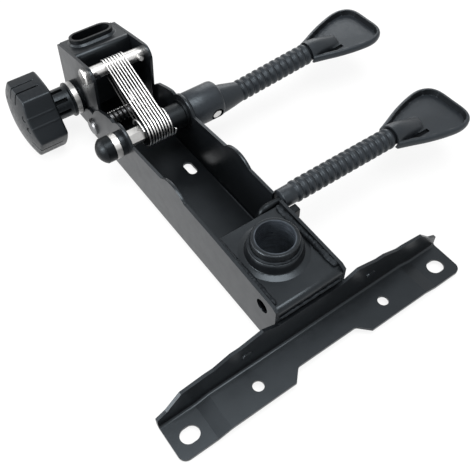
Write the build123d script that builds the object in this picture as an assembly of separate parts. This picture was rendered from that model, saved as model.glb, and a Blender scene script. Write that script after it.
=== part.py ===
from build123d import *
import math
import os

# Office chair tilt mechanism, shown as it lies on its seat face.
# +Z points away from the seat, +X to the front of the chair, +Y to the lever side.
# The origin is on the axis of the gas lift socket, in the plane of the seat face.
# All lengths are in millimetres.

# Sheet steel and fits
sheet = 2.5
running_clearance = 0.05
side_clearance = 0.3
soft_clearance = 0.4
overrun = 5.0

# Spine channel
channel_half_width = 30.8
channel_bend = 4.0
channel_front = 41.2
channel_wall_height = 50.0
floor_end_ahead_of_pivot = 21.2
wall_corner_round = 6.0
wall_bump_back = 85.0
wall_bump_radius = 24.0
wall_bump_top = 59.5
rod_boss_radius = 17.0
wall_hole_radius = 5.75
wall_hole_ahead = 26.6
wall_hole_height = 38.3
floor_slot_length = 16.0
floor_slot_width = 8.0
floor_slot_ahead_of_rod = 23.1
floor_slot_aside = 17.1

# Places of the main axes, measured back from the socket axis
pivot_back = 221.2
pivot_height = 16.5
rod_ahead_of_pivot = 58.7
rod_height = 43.0

# Socket plate and gas lift socket
plate_top = 47.4
plate_rear = 31.8
plate_lip_bottom = 34.5
plate_bend = 4.0
socket_outer_radius = 17.4
socket_mouth_radius = 14.2
socket_land = 6.0
socket_top = 64.0
socket_taper_share = 0.05
socket_stop_radius = 11.5
socket_stop_height = 22.0
socket_stop_thickness = 2.0
socket_rim_round = 1.0
collar_top = 57.0
collar_top_radius = 19.75
collar_root_height = 49.0
collar_root_radius = 21.5
collar_skirt_radius = 26.0
window_width = 24.0
window_height = 18.5
weld_leg = 3.2
weld_length = 14.0
weld_count = 4
socket_weld_leg = 2.2

# Front rail
rail_half_length = 127.7
rail_front = 73.3
rail_lift = 2.5
rail_joggle_inner = 89.0
rail_joggle_outer = 100.0
rail_flange_height = 39.3
rail_bend = 4.5
rail_corner_round = 6.0
rail_notch_depth = 8.8
rail_notch_half_width = 26.6
rail_notch_mouth_half_width = 35.2
rail_notch_round = 4.0
rail_hole_ahead = 59.7
rail_slot_aside = 113.6
rail_slot_length = 14.3
rail_slot_width = 11.8
rail_hole_aside = 57.8
rail_hole_radius = 4.25
dimple_aside = 56.0
dimple_height = 22.8
dimple_length = 8.0
dimple_width = 3.6
dimple_depth = 1.2

# Lock rod, its bushes and its left end
rod_radius = 6.0
rod_hexagon_radius = 7.0
rod_flat_share = 0.866
rod_spigot_radius = 8.0
rod_collar_radius = 10.5
rod_collar_length = 4.8
rod_washer_radius = 10.8
rod_washer_thickness = 5.0
rod_cap_radius = 10.75
rod_cap_length = 13.5
rod_cap_dome = 6.0
core_radius = 11.0
core_left = 12.5
rod_bare_start = 27.0
bush_flange_radius = 13.0
bush_flange_thickness = 2.4

# Wire spring between the lock rod and the hook pin
wire_radius = 0.85
spring_pitch = 2.6
spring_end_pitch = 3.5
spring_belts = 8
spring_tail = 6.0
pivot_spring_pitch = 4.2
pivot_spring_turns = 9

# Back bar carrier
carrier_reach = 57.3
carrier_height = 84.5
carrier_corner_round = 9.0
carrier_pivot_radius = 13.5
carrier_plate_rise = 10.6
carrier_plate_length = 34.1
carrier_plate_drop = 50.0
carrier_plate_start_ahead = 5.0
carrier_plate_start_below_top = 12.5
carrier_bend = 3.6
bush_radius = 7.0
bush_rim_radius = 9.5
bush_rim_thickness = 1.5
pivot_pin_radius = 5.0
pivot_head_radius = 7.5
pivot_head_height = 2.8
head_round = 1.2
hook_pin_behind_pivot = 0.8
hook_pin_below_top = 14.5
hook_pin_radius = 5.6
hook_head_radius = 7.2
hook_head_height = 2.8
dowel_radius = 2.0
dowel_length = 16.0
dowel_lean = 14.0
dowel_aside = 20.5

# Oval socket for the back bar
bar_width = 35.0
bar_thickness = 14.5
liner_wall = 1.0
sleeve_wall = 1.5
sleeve_stand = 5.0
sleeve_length = 74.0
lip_root = 2.0
lip_height = 2.0
lip_lean = 40.0
sleeve_from_plate_start = 12.8

# Clamp knob
knob_behind_pivot = 29.1
knob_height = 30.5
clutch_radius = 15.0
clutch_thickness = 3.2
clutch_teeth = 36
clutch_tooth_height = 0.9
stud_radius = 4.0
stud_reach = 80.0
nut_flat_radius = 6.5
nut_thickness = 3.9
pad_radius = 5.0
pad_thickness = 2.0
pad_bore_clearance = 0.35
ring_radius = 15.0
ring_thickness = 4.6
ring_gap = 0.3
knob_flange_radius = 15.6
knob_flange_thickness = 2.2
knob_hub_radius = 13.5
knob_hub_length = 18.0
knob_castles = 8
knob_castle_width = 3.6
knob_castle_depth = 1.6
knob_castle_length = 6.0
knob_radius = 36.0
knob_length = 31.6
knob_dome = 6.5
knob_flute_radius = 80.0
knob_flute_depth = 9.0
knob_lobe_round = 4.0
knob_back_chamfer = 5.0

# Levers
hub_radius = 16.0
hub_length = 31.0
hub_round = 3.0
neck_radius = 13.0
neck_drop = 3.0
neck_length = 23.6
grip_valley = 0.9
tilt_grip_radius = 9.6
tilt_grip_length = 78.0
tilt_grip_ribs = 12
tilt_grip_rise = 4.6
tilt_grip_drop = 4.8
tilt_screw_radius = 4.0
tilt_screw_recess_radius = 6.0
tilt_screw_recess_depth = 3.4
tilt_screw_aside = 53.5
tilt_screw_height = 2.6
tilt_screw_turn = 104.0
lift_back = 35.4
lift_height = 47.2
lift_rod_radius = 3.0
lift_grip_start = 32.4
lift_grip_root = 12.0
lift_grip_length = 101.0
lift_grip_radius = 8.8
lift_grip_ribs = 16
lift_crank_bend = 7.0
lift_crank_aside = 17.0
lift_crank_bottom = 9.5
lift_toe_length = 12.0
lift_toe_width = 9.0
lift_toe_thickness = 3.0
lever_socket_depth = 22.0
notch_depth_below_rod = 0.4
notch_clearance = 1.2
lug_back = 22.8
lug_width = 6.8
lug_height = 10.5
lug_depth = 8.6
lug_bottom = 36.8
paddle_length = 74.0
paddle_half_width = 28.0
paddle_height = 7.0
paddle_drop = 1.4
paddle_rim = 4.0
paddle_floor = 2.4
paddle_corner_round = 13.0
paddle_side_round = 30.0
paddle_edge_round = 2.6
paddle_mouth_radius = 11.0
paddle_mouth_length = 5.0
paddle_boss_radius = 10.4
paddle_boss_tip_radius = 7.2
paddle_boss_length = 36.0
paddle_slot_length = 13.0
paddle_slot_width = 4.2
paddle_slot_along = 27.0

# Outlines, as shares of the sizes that they follow
# Top edge of the channel wall: run from the pivot to the front end, and wall height
wall_top_shares = [
    (0.013, 0.652), (0.039, 0.83), (0.069, 0.954), (0.121, 1.05), (0.157, 1.1), (0.271, 0.99),
    (0.458, 1.066), (0.592, 1.064), (0.721, 1.056), (0.984, 1.0), (1.0, 0.955),
]
# Top edge of the rail flange: half length, and flange height
flange_top_shares = [
    (0.0, 0.865), (0.225, 0.865), (0.33, 1.0), (0.475, 0.885), (0.533, 0.885), (0.642, 0.763),
    (0.69, 0.763), (0.846, 0.7), (0.94, 0.4), (1.0, 0.3),
]
# Cheek of the carrier: reach behind the pivot, and height
cheek_shares = [
    (-0.913, 0.852), (-0.328, 0.927), (0.297, 1.0), (0.222, 0.533), (0.187, 0.26),
    (0.0, 0.036), (-0.956, 0.012), (-1.0, 0.305),
]
# Half of the lever paddle: length, and half width
paddle_half_shares = [(0.0, 0.42), (0.38, 0.83), (0.76, 1.0), (1.0, 0.9)]

# Places that follow from the sizes above
channel_inner = channel_half_width - sheet
channel_run = pivot_back + channel_front
channel_floor_back = pivot_back - floor_end_ahead_of_pivot
rod_back = pivot_back - rod_ahead_of_pivot
floor_slot_back = rod_back - floor_slot_ahead_of_rod
hook_pin_back = pivot_back + hook_pin_behind_pivot
hook_pin_height = carrier_height - hook_pin_below_top
carrier_plate_start_height = carrier_height - carrier_plate_start_below_top
knob_back = pivot_back + knob_behind_pivot
cheek_outer = channel_inner - side_clearance
cheek_inner = cheek_outer - sheet
sleeve_long = bar_width + 2 * liner_wall + 2 * sleeve_wall
sleeve_short = bar_thickness + 2 * liner_wall + 2 * sleeve_wall
bore_slope = socket_taper_share / 2
ring_face = cheek_outer + clutch_thickness + ring_gap
hub_face = ring_face + ring_thickness + knob_flange_thickness
knob_face = hub_face + knob_hub_length


def outline_of(*points):
    """Flat outline through the given corners, facing up whichever way they run."""
    following = points[1:] + points[:1]
    area = sum(one[0] * two[1] - two[0] * one[1] for one, two in zip(points, following))
    ordered = points if area > 0 else points[::-1]
    return Polygon(*ordered, align=None)


def side_slab(outline, y_low, y_high):
    """Sheet or block with its outline in the XZ plane, between two places along Y."""
    return extrude(Plane.XZ.offset(-y_high) * outline, y_high - y_low, dir=(0, -1, 0))


def cross_slab(outline, x_low, x_high):
    """Bar or block with its section in the YZ plane, between two places along X."""
    return extrude(Plane.YZ.offset(x_low) * outline, x_high - x_low, dir=(1, 0, 0))


def flat_slab(outline, z_low, z_high):
    """Plate or block with its outline in the XY plane, between two heights."""
    return extrude(Pos(0, 0, z_low) * outline, z_high - z_low, dir=(0, 0, 1))


def round_along_y(radius, x, z, y_low, y_high):
    """Round bar along Y."""
    return side_slab(Pos(x, z) * Circle(radius), y_low, y_high)


def tube_along_y(outer, inner, x, z, y_low, y_high):
    """Round tube along Y."""
    return side_slab(Pos(x, z) * (Circle(outer) - Circle(inner)), y_low, y_high)


def turned_along_y(points, x, z):
    """Turned piece on an axis along Y, from places along Y and radii."""
    plane = Plane(origin=(x, 0, z), x_dir=(0, 1, 0), z_dir=(1, 0, 0))
    return revolve(plane * outline_of(*points), Axis((x, 0, z), (0, 1, 0)), 360)


def rounded(outline, corners, radius):
    """The outline with the corners at the given points rounded."""
    chosen = [outline.vertices().sort_by_distance((x, y, 0))[0] for x, y in corners]
    return fillet(chosen, radius)


def spine_channel():
    """Pressed U channel: floor, two walls with rod bosses and the ears of the tilt pivot."""
    top = [(-pivot_back + channel_run * along, channel_wall_height * up) for along, up in wall_top_shares]
    points = [(-pivot_back, 0), (channel_front, 0)] + top[::-1] + [(-pivot_back, 2 * pivot_height)]
    wall = outline_of(*points)
    wall = rounded(wall, top[1:5], wall_corner_round)
    wall += Pos(-pivot_back, pivot_height) * Circle(pivot_height)
    wall += Pos(-rod_back, rod_height) * Circle(rod_boss_radius)
    wall += Pos(-wall_bump_back, wall_bump_top - wall_bump_radius) * Circle(wall_bump_radius)
    body = side_slab(wall, -channel_half_width, channel_half_width)
    height = 2 * channel_wall_height
    outer = Pos(0, height / 2) * Rectangle(2 * channel_half_width, height)
    outer = rounded(outer, [(-channel_half_width, 0), (channel_half_width, 0)], channel_bend)
    inner = Pos(0, sheet + height / 2) * Rectangle(2 * channel_inner, height)
    inner = rounded(inner, [(-channel_inner, sheet), (channel_inner, sheet)], channel_bend - sheet)
    section = outer - inner
    start = -pivot_back - 2 * pivot_height
    trough = cross_slab(section, start, channel_front)
    body = body & trough
    rear_length = pivot_back + 2 * pivot_height - channel_floor_back
    rear = Pos(-channel_floor_back - rear_length / 2, 0, 0) * Box(rear_length, 2 * channel_inner, height)
    body -= rear
    body -= round_along_y(pivot_pin_radius, -pivot_back, pivot_height, -overrun - channel_half_width,
                          channel_half_width + overrun)
    body -= round_along_y(rod_spigot_radius, -rod_back, rod_height, -overrun - channel_half_width,
                          channel_half_width + overrun)
    body -= round_along_y(wall_hole_radius, wall_hole_ahead, wall_hole_height,
                          -overrun - channel_half_width, -channel_inner + overrun)
    slot = SlotOverall(floor_slot_length, floor_slot_width)
    for side in (-1, 1):
        body -= flat_slab(Pos(-floor_slot_back, side * floor_slot_aside) * slot, -overrun, sheet + overrun)
    notch_half = lift_rod_radius + notch_clearance
    notch_bottom = lift_height - lift_rod_radius - notch_depth_below_rod
    notch = Pos(-lift_back, notch_bottom + notch_half) * Circle(notch_half)
    notch += Pos(-lift_back, notch_bottom + 2 * notch_half) * Rectangle(2 * notch_half, 2 * notch_half)
    notch += Pos(-lift_back, notch_bottom + 3 * notch_half) * Rectangle(2 * notch_half, 2 * notch_half)
    body -= side_slab(notch, channel_inner - overrun, channel_half_width + overrun)
    return body


def socket_plate():
    """Plate welded between the walls, with its front edge bent down and a drawn collar."""
    under = plate_top - sheet
    points = [(-plate_rear, plate_top), (channel_front, plate_top), (channel_front, plate_lip_bottom),
              (channel_front - sheet, plate_lip_bottom), (channel_front - sheet, under), (-plate_rear, under)]
    profile = outline_of(*points)
    profile = rounded(profile, [(channel_front, plate_top)], plate_bend)
    profile = rounded(profile, [(channel_front - sheet, under)], plate_bend - sheet)
    plate = side_slab(profile, -channel_inner, channel_inner)
    collar = outline_of((0, under), (collar_skirt_radius, under), (collar_skirt_radius, plate_top),
                     (collar_root_radius, collar_root_height), (collar_top_radius, collar_top),
                     (0, collar_top))
    plate += revolve(Plane.XZ * collar, Axis.Z, 360)
    plate -= Pos(0, 0, collar_top / 2) * Cylinder(socket_outer_radius, 2 * collar_top)
    return plate


def gas_lift_tube():
    """Socket tube standing on the floor: straight mouth, slow taper, stop ring and a lever window."""
    land_bottom = socket_top - socket_land
    stop_top = socket_stop_height + socket_stop_thickness
    stop_bore = socket_mouth_radius - bore_slope * (land_bottom - stop_top)
    foot_bore = socket_mouth_radius - bore_slope * (land_bottom - sheet)
    points = [
        (socket_outer_radius, sheet), (socket_outer_radius, socket_top), (socket_mouth_radius, socket_top),
        (socket_mouth_radius, land_bottom), (stop_bore, stop_top), (socket_stop_radius, stop_top),
        (socket_stop_radius, socket_stop_height), (foot_bore, socket_stop_height), (foot_bore, sheet),
    ]
    profile = outline_of(*points)
    profile = rounded(profile, [(socket_outer_radius, socket_top)], socket_rim_round)
    tube = revolve(Plane.XZ * profile, Axis.Z, 360)
    depth = socket_outer_radius + overrun
    window = Pos(-depth / 2, 0, sheet + window_height / 2) * Box(depth, window_width, window_height)
    return tube - window


def plate_welds(side):
    """Stitches of weld in the corner between the socket plate and a wall."""
    corner = side * channel_inner
    bead = outline_of((corner, plate_top), (corner, plate_top + weld_leg),
                   (corner - side * weld_leg, plate_top))
    first = -plate_rear + weld_length / 2
    last = channel_front - 2 * plate_bend - weld_length / 2
    step = (last - first) / (weld_count - 1)
    starts = [first + step * number - weld_length / 2 for number in range(weld_count)]
    beads = [cross_slab(bead, start, start + weld_length) for start in starts]
    skirt = Pos(0, 0, plate_top) * Cylinder(collar_skirt_radius + side_clearance, 2 * weld_leg)
    beads = [bead - skirt for bead in beads]
    return Compound(children=[solid for bead in beads for solid in bead.solids()])


def socket_weld():
    """Ring of weld between the collar and the socket tube."""
    ring = outline_of((socket_outer_radius, collar_top), (socket_outer_radius + socket_weld_leg, collar_top),
                   (socket_outer_radius, collar_top + socket_weld_leg))
    return revolve(Plane.XZ * ring, Axis.Z, 360)


def rail_section(lift):
    """L section of the rail with its bend, in the XZ plane."""
    back = channel_front
    points = [
        (back, lift), (rail_front, lift), (rail_front, lift + sheet), (back + sheet, lift + sheet),
        (back + sheet, rail_flange_height + overrun), (back, rail_flange_height + overrun),
    ]
    section = outline_of(*points)
    section = rounded(section, [(back, lift)], rail_bend)
    return rounded(section, [(back + sheet, lift + sheet)], rail_bend - sheet)


def front_rail():
    """Angle rail across the front: joggled pads, shaped flange, notch, slots, holes and dimples."""
    rail = side_slab(rail_section(rail_lift), -rail_joggle_inner, rail_joggle_inner)
    for side in (-1, 1):
        inner = Plane.XZ.offset(-side * rail_joggle_inner) * rail_section(rail_lift)
        outer = Plane.XZ.offset(-side * rail_joggle_outer) * rail_section(0)
        rail += loft([inner.face(), outer.face()], ruled=True)
        ends = sorted([side * rail_joggle_outer, side * rail_half_length])
        rail += side_slab(rail_section(0), ends[0], ends[1])
        dimple = Pos(side * dimple_aside, dimple_height) * SlotOverall(dimple_length, dimple_width)
        rail += cross_slab(dimple, channel_front + sheet, channel_front + sheet + dimple_depth)
    half = [(rail_half_length * along, rail_flange_height * up) for along, up in flange_top_shares]
    left = [(-along, up) for along, up in half[::-1]]
    outline = [(rail_half_length, -overrun), (-rail_half_length, -overrun)] + left[:-1] + half
    silhouette = outline_of(*outline)
    rail = rail & cross_slab(silhouette, channel_front - overrun, rail_front + overrun)
    width = rail_front - channel_front
    plan = Pos(channel_front + width / 2, 0) * Rectangle(width, 2 * rail_half_length)
    plan = rounded(plan, [(rail_front, -rail_half_length), (rail_front, rail_half_length)], rail_corner_round)
    notch_bottom = rail_front - rail_notch_depth
    notch = outline_of((rail_front, -rail_notch_mouth_half_width), (notch_bottom, -rail_notch_half_width),
                    (notch_bottom, rail_notch_half_width), (rail_front, rail_notch_mouth_half_width))
    notch = rounded(notch, [(notch_bottom, -rail_notch_half_width), (notch_bottom, rail_notch_half_width)],
                    rail_notch_round)
    plan -= notch
    for side in (-1, 1):
        plan -= Pos(rail_hole_ahead, side * rail_slot_aside) * SlotOverall(rail_slot_length, rail_slot_width,
                                                                           rotation=90)
        plan -= Pos(rail_hole_ahead, side * rail_hole_aside) * Circle(rail_hole_radius)
    return rail & flat_slab(plan, -overrun, rail_flange_height + overrun)


def pivot_pin():
    """Riveted pin through both ears, on which the carrier tilts."""
    end = channel_half_width
    tip = end + pivot_head_height
    points = [(-tip, 0), (-tip, pivot_head_radius - head_round), (-tip + head_round, pivot_head_radius),
              (-end, pivot_head_radius), (-end, pivot_pin_radius)]
    mirrored = [(-along, radius) for along, radius in points[::-1]]
    return turned_along_y(points + mirrored, -pivot_back, pivot_height)


def rod_collar():
    """Bush in the left wall with a long collar outside it."""
    bore = rod_radius + running_clearance
    far = -channel_half_width - rod_collar_length
    points = [(far, bore), (far, rod_collar_radius), (-channel_half_width, rod_collar_radius),
              (-channel_half_width, rod_spigot_radius), (-channel_inner, rod_spigot_radius),
              (-channel_inner, bore)]
    return turned_along_y(points, -rod_back, rod_height)


def rod_bush():
    """Bush in the right wall with a flange inside the channel."""
    bore = rod_radius + running_clearance
    flange = channel_inner - bush_flange_thickness
    points = [(flange, bore), (flange, bush_flange_radius), (channel_inner, bush_flange_radius),
              (channel_inner, rod_spigot_radius), (channel_half_width, rod_spigot_radius),
              (channel_half_width, bore)]
    return turned_along_y(points, -rod_back, rod_height)


def spring_core():
    """Plain tube round the lock rod, on which the wire is wound."""
    return tube_along_y(core_radius, rod_radius + running_clearance, -rod_back, rod_height,
                        -core_left, channel_inner - bush_flange_thickness)


def unit(vector):
    return vector / vector.length


def two_arcs(start, start_way, end, end_way):
    """A pair of arcs that leave and arrive in the given directions."""
    chord = end - start
    both = start_way + end_way
    along = chord.dot(both)
    turn = 2 * (1 - start_way.dot(end_way))
    reach = (math.sqrt(along * along + turn * chord.dot(chord)) - along) / turn
    joint = (start + end + (start_way - end_way) * reach) / 2
    middle_way = unit(joint - start - start_way * reach)
    first = TangentArc(start, joint, tangent=start_way)
    second = TangentArc(joint, end, tangent=middle_way)
    return [first, second]


def spring_route():
    """Places and directions along the wire: a belt of turns with one plain turn on the core at each end."""
    core = Vector(-rod_back, 0, rod_height)
    pin = Vector(-hook_pin_back, 0, hook_pin_height)
    core_turn = core_radius + soft_clearance + wire_radius
    pin_turn = hook_pin_radius + soft_clearance + wire_radius
    reach = (pin - core).length
    toward = unit(pin - core)
    lift = Vector(-toward.Z, 0, toward.X) * -1
    lean = math.asin((core_turn - pin_turn) / reach)
    straight = reach * math.cos(lean)
    core_wrap = math.pi + 2 * lean
    pin_wrap = math.pi - 2 * lean
    belt = 2 * straight + core_wrap * core_turn + pin_wrap * pin_turn
    belt_slope = spring_pitch / belt
    turn_slope = spring_end_pitch / (2 * math.pi * core_turn)
    across = Vector(0, 1, 0)

    def stop(centre, radius, angle, y, slope):
        outward = toward * math.sin(angle) + lift * math.cos(angle)
        forward = toward * math.cos(angle) - lift * math.sin(angle)
        place = centre + outward * radius + across * y
        return place, unit(forward + across * slope)

    stops = []
    y = -spring_end_pitch - spring_pitch * spring_belts / 2
    quarter = math.pi / 2
    for number in range(4):
        angle = lean - 4 * quarter + number * quarter
        stops.append(stop(core, core_turn, angle, y + spring_end_pitch * number / 4, turn_slope))
    y += spring_end_pitch
    for number in range(spring_belts):
        stops.append(stop(core, core_turn, lean, y, belt_slope))
        y += belt_slope * straight
        stops.append(stop(pin, pin_turn, lean, y, belt_slope))
        y += belt_slope * pin_turn * pin_wrap / 2
        stops.append(stop(pin, pin_turn, lean + pin_wrap / 2, y, belt_slope))
        y += belt_slope * pin_turn * pin_wrap / 2
        stops.append(stop(pin, pin_turn, lean + pin_wrap, y, belt_slope))
        y += belt_slope * straight
        stops.append(stop(core, core_turn, lean + pin_wrap, y, belt_slope))
        y += belt_slope * core_turn * core_wrap / 2
        stops.append(stop(core, core_turn, lean + pin_wrap + core_wrap / 2, y, belt_slope))
        y += belt_slope * core_turn * core_wrap / 2
    for number in range(4):
        slope = belt_slope if number == 0 else turn_slope
        stops.append(stop(core, core_turn, lean + number * quarter, y + spring_end_pitch * number / 4, slope))
    return stops


def tilt_spring():
    """Wire wound as a belt round the core and the hook pin, as one unbroken tube."""
    stops = spring_route()
    first_place, first_way = stops[0]
    last_place, last_way = stops[-1]
    edges = [Line(first_place - first_way * spring_tail, first_place)]
    for number in range(len(stops) - 1):
        start, start_way = stops[number]
        end, end_way = stops[number + 1]
        if abs(start_way.dot(end_way) - 1) < 1e-9:
            edges.append(Line(start, end))
        else:
            edges += two_arcs(start, start_way, end, end_way)
    edges.append(Line(last_place, last_place + last_way * spring_tail))
    path = Wire([edge for part in edges for edge in part.edges()])
    profile = Plane(origin=path @ 0, z_dir=first_way) * Circle(wire_radius)
    spring = sweep(profile, path=path)
    report_spring_gap(path)
    return spring


def pivot_spring():
    """Light coil wound on the pivot pin between the cheeks."""
    radius = pivot_pin_radius + soft_clearance + wire_radius
    length = pivot_spring_pitch * pivot_spring_turns
    coil = Helix(pivot_spring_pitch, length, radius)
    profile = Plane(origin=coil @ 0, z_dir=coil % 0) * Circle(wire_radius)
    spring = sweep(profile, path=coil, is_frenet=True)
    return Location((-pivot_back, -length / 2, pivot_height)) * Rot(-90, 0, 0) * spring


def report_spring_gap(path):
    """Print the least gap of the wire to itself and its volume against section times length."""
    step = wire_radius
    count = int(path.length / step)
    places = [path @ (number / count) for number in range(count + 1)]
    skip = int(6 * wire_radius / step) + 1
    least = path.length
    for number, place in enumerate(places):
        for other in places[number + skip:]:
            if abs(other.Y - place.Y) < least:
                least = min(least, (other - place).length)
    print("wire length", round(path.length, 1), "least gap", round(least - 2 * wire_radius, 3))


def cheek(side):
    """Side plate of the carrier, from the pivot to behind the bar socket."""
    points = [(-pivot_back + carrier_reach * along, carrier_height * up) for along, up in cheek_shares]
    outline = outline_of(*points)
    outline = rounded(outline, [points[2]], carrier_corner_round)
    outline = rounded(outline, [points[0], points[6]], carrier_corner_round / 3)
    outline += Pos(-pivot_back, pivot_height) * Circle(carrier_pivot_radius)
    outline -= Pos(-pivot_back, pivot_height) * Circle(bush_radius)
    outline -= Pos(-hook_pin_back, hook_pin_height) * Circle(hook_pin_radius)
    if side < 0:
        outline -= Pos(-knob_back, knob_height) * Circle(stud_radius + running_clearance)
    ends = sorted([side * cheek_inner, side * cheek_outer])
    return side_slab(outline, ends[0], ends[1])


def plate_frame():
    """Frame on the top of the carrier plate, at its rear edge: X forward along it, Z square to it."""
    start = (-pivot_back - carrier_reach + carrier_plate_start_ahead, 0, carrier_plate_start_height)
    return Location(start) * Rot(0, -carrier_plate_rise, 0)


def carrier_plate():
    """Folded plate between the cheeks: top with the oval hole, and the web in front of it."""
    long = carrier_plate_length
    drop = carrier_plate_drop
    points = [(0, 0), (long, 0), (long, -drop), (long - sheet, -drop), (long - sheet, -sheet), (0, -sheet)]
    profile = outline_of(*points)
    profile = rounded(profile, [(long, 0)], carrier_bend)
    profile = rounded(profile, [(long - sheet, -sheet)], carrier_bend - sheet)
    plate = side_slab(profile, -cheek_inner, cheek_inner)
    root = SlotOverall(sleeve_long + 2 * lip_root, sleeve_short + 2 * lip_root, rotation=90)
    plate += extrude(Pos(sleeve_from_plate_start, 0) * root, lip_height, taper=lip_lean, dir=(0, 0, 1))
    hole = Pos(sleeve_from_plate_start, 0) * SlotOverall(sleeve_long, sleeve_short, rotation=90)
    plate -= flat_slab(hole, -overrun, lip_height + overrun)
    return plate_frame() * plate


def knob_bore(radius):
    """Hole for the pad through the left edge of the bar socket."""
    return round_along_y(radius, -knob_back, knob_height, -cheek_inner, 0)


def bar_sleeve():
    """Oval steel tube through the top of the carrier."""
    top = sleeve_stand
    section = SlotOverall(sleeve_long, sleeve_short, rotation=90)
    section -= SlotOverall(sleeve_long - 2 * sleeve_wall, sleeve_short - 2 * sleeve_wall, rotation=90)
    tube = flat_slab(Pos(sleeve_from_plate_start, 0) * section, top - sleeve_length, top)
    return (plate_frame() * tube) - knob_bore(pad_radius + pad_bore_clearance)


def bar_liner():
    """Moulded liner of the oval socket, flush with the end of the sleeve."""
    section = SlotOverall(bar_width + 2 * liner_wall, bar_thickness + 2 * liner_wall, rotation=90)
    mouth = SlotOverall(bar_width, bar_thickness, rotation=90)
    place = Pos(sleeve_from_plate_start, 0)
    liner = flat_slab(place * (section - mouth), sleeve_stand - sleeve_length, sleeve_stand)
    return (plate_frame() * liner) - knob_bore(pad_radius + pad_bore_clearance)


def hook_pin():
    """Pin across the carrier that holds the far end of the spring, riveted over the cheeks."""
    tip = cheek_outer + hook_head_height
    points = [(-tip, 0), (-tip, hook_head_radius - head_round), (-tip + head_round, hook_head_radius),
              (-cheek_outer, hook_head_radius), (-cheek_outer, hook_pin_radius)]
    mirrored = [(-along, radius) for along, radius in points[::-1]]
    pin = turned_along_y(points + mirrored, -hook_pin_back, hook_pin_height)
    for side in (-1, 1):
        pin -= pin_dowel(side)
    return pin


def pin_dowel(side):
    """Cross dowel that keeps the spring in the middle of the hook pin."""
    place = Location((-hook_pin_back, side * dowel_aside, hook_pin_height)) * Rot(0, 90 - dowel_lean, 0)
    centre = Pos(0, 0, dowel_length / 2 - hook_pin_radius + soft_clearance)
    return place * centre * Cylinder(dowel_radius, dowel_length)


def pivot_bush(side):
    """Flanged bush in a cheek, turning on the pivot pin."""
    bore = pivot_pin_radius + running_clearance
    rim = cheek_inner - bush_rim_thickness
    points = [(rim, bore), (rim, bush_rim_radius), (cheek_inner, bush_rim_radius),
              (cheek_inner, bush_radius), (cheek_outer, bush_radius), (cheek_outer, bore)]
    placed = [(side * along, radius) for along, radius in points]
    return turned_along_y(placed, -pivot_back, pivot_height)


def clutch_disc():
    """Serrated disc welded to the left cheek round the stud."""
    disc = tube_along_y(clutch_radius, stud_radius + running_clearance, -knob_back, knob_height,
                        -cheek_outer - clutch_thickness, -cheek_outer)
    half = math.pi * clutch_radius / clutch_teeth / 2
    groove = outline_of((clutch_radius + half, -half), (clutch_radius + half, half),
                     (clutch_radius - clutch_tooth_height, 0))
    cutter = side_slab(groove, -clutch_thickness / 2, clutch_thickness / 2)
    centre = Pos(-knob_back, -cheek_outer - clutch_thickness, knob_height)
    cutters = [centre * Rot(0, 360 * number / clutch_teeth, 0) * cutter for number in range(clutch_teeth)]
    return disc - cutters


def stud_nut():
    """Hexagon nut welded inside the left cheek."""
    hexagon = RegularPolygon(nut_flat_radius, 6, major_radius=False)
    hexagon -= Circle(stud_radius + running_clearance)
    return side_slab(Pos(-knob_back, knob_height) * hexagon, -cheek_inner, -cheek_inner + nut_thickness)


def clamp_pad():
    """Round pad at the tip of the stud, pressing on the edge of the back bar."""
    face = -bar_width / 2 - ring_gap / 3
    return round_along_y(pad_radius, -knob_back, knob_height, face - pad_thickness, face)


def knob_stud():
    """Threaded stud moulded into the knob."""
    tip = -bar_width / 2 - ring_gap / 3 - pad_thickness
    return round_along_y(stud_radius, -knob_back, knob_height, -stud_reach, tip)


def knob_ring():
    """Plated pressure ring between the clutch disc and the knob."""
    return tube_along_y(ring_radius, stud_radius, -knob_back, knob_height, -ring_face - ring_thickness,
                        -ring_face)


def knob_hub():
    """Moulded hub of the knob: a thin flange and a castellated neck."""
    flange_far = -hub_face
    hub = tube_along_y(knob_flange_radius, stud_radius, -knob_back, knob_height, flange_far,
                       flange_far + knob_flange_thickness)
    hub += tube_along_y(knob_hub_radius, stud_radius, -knob_back, knob_height, -knob_face, flange_far)
    block = Pos(knob_hub_radius, 0, 0) * Box(2 * knob_castle_depth, 2 * knob_castle_length, knob_castle_width)
    centre = Pos(-knob_back, -knob_face, knob_height)
    cuts = [centre * Rot(0, 360 * number / knob_castles, 0) * block for number in range(knob_castles)]
    return hub - cuts


def knob_body():
    """Three-lobed hand knob with a domed outer face."""
    outline = Circle(knob_radius)
    flute_centre = knob_radius + knob_flute_radius - knob_flute_depth
    for number in range(3):
        outline -= Rot(0, 0, 50 + 120 * number) * Pos(flute_centre, 0) * Circle(knob_flute_radius)
    outline = fillet(outline.vertices(), knob_lobe_round)
    near = -knob_face
    far = near - knob_length
    body = side_slab(Pos(-knob_back, knob_height) * outline, far, near)
    plane = Plane(origin=(-knob_back, 0, knob_height), x_dir=(0, 1, 0), z_dir=(1, 0, 0))
    shoulder = far + knob_dome
    dome_radius = (knob_radius * knob_radius + knob_dome * knob_dome) / (2 * knob_dome)
    half = math.asin(knob_radius / dome_radius) / 2
    middle = (far + dome_radius * (1 - math.cos(half)), dome_radius * math.sin(half))
    edge = [
        ThreePointArc((far, 0), middle, (shoulder, knob_radius)),
        Line((shoulder, knob_radius), (near - knob_back_chamfer, knob_radius)),
        Line((near - knob_back_chamfer, knob_radius), (near, knob_radius - knob_back_chamfer)),
        Line((near, knob_radius - knob_back_chamfer), (near, 0)),
        Line((near, 0), (far, 0)),
    ]
    turned = revolve(plane * make_face(edge), Axis((-knob_back, 0, knob_height), (0, 1, 0)), 360)
    body = body & turned
    bore = round_along_y(stud_radius, -knob_back, knob_height, -stud_reach, near + overrun)
    return body - bore


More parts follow.
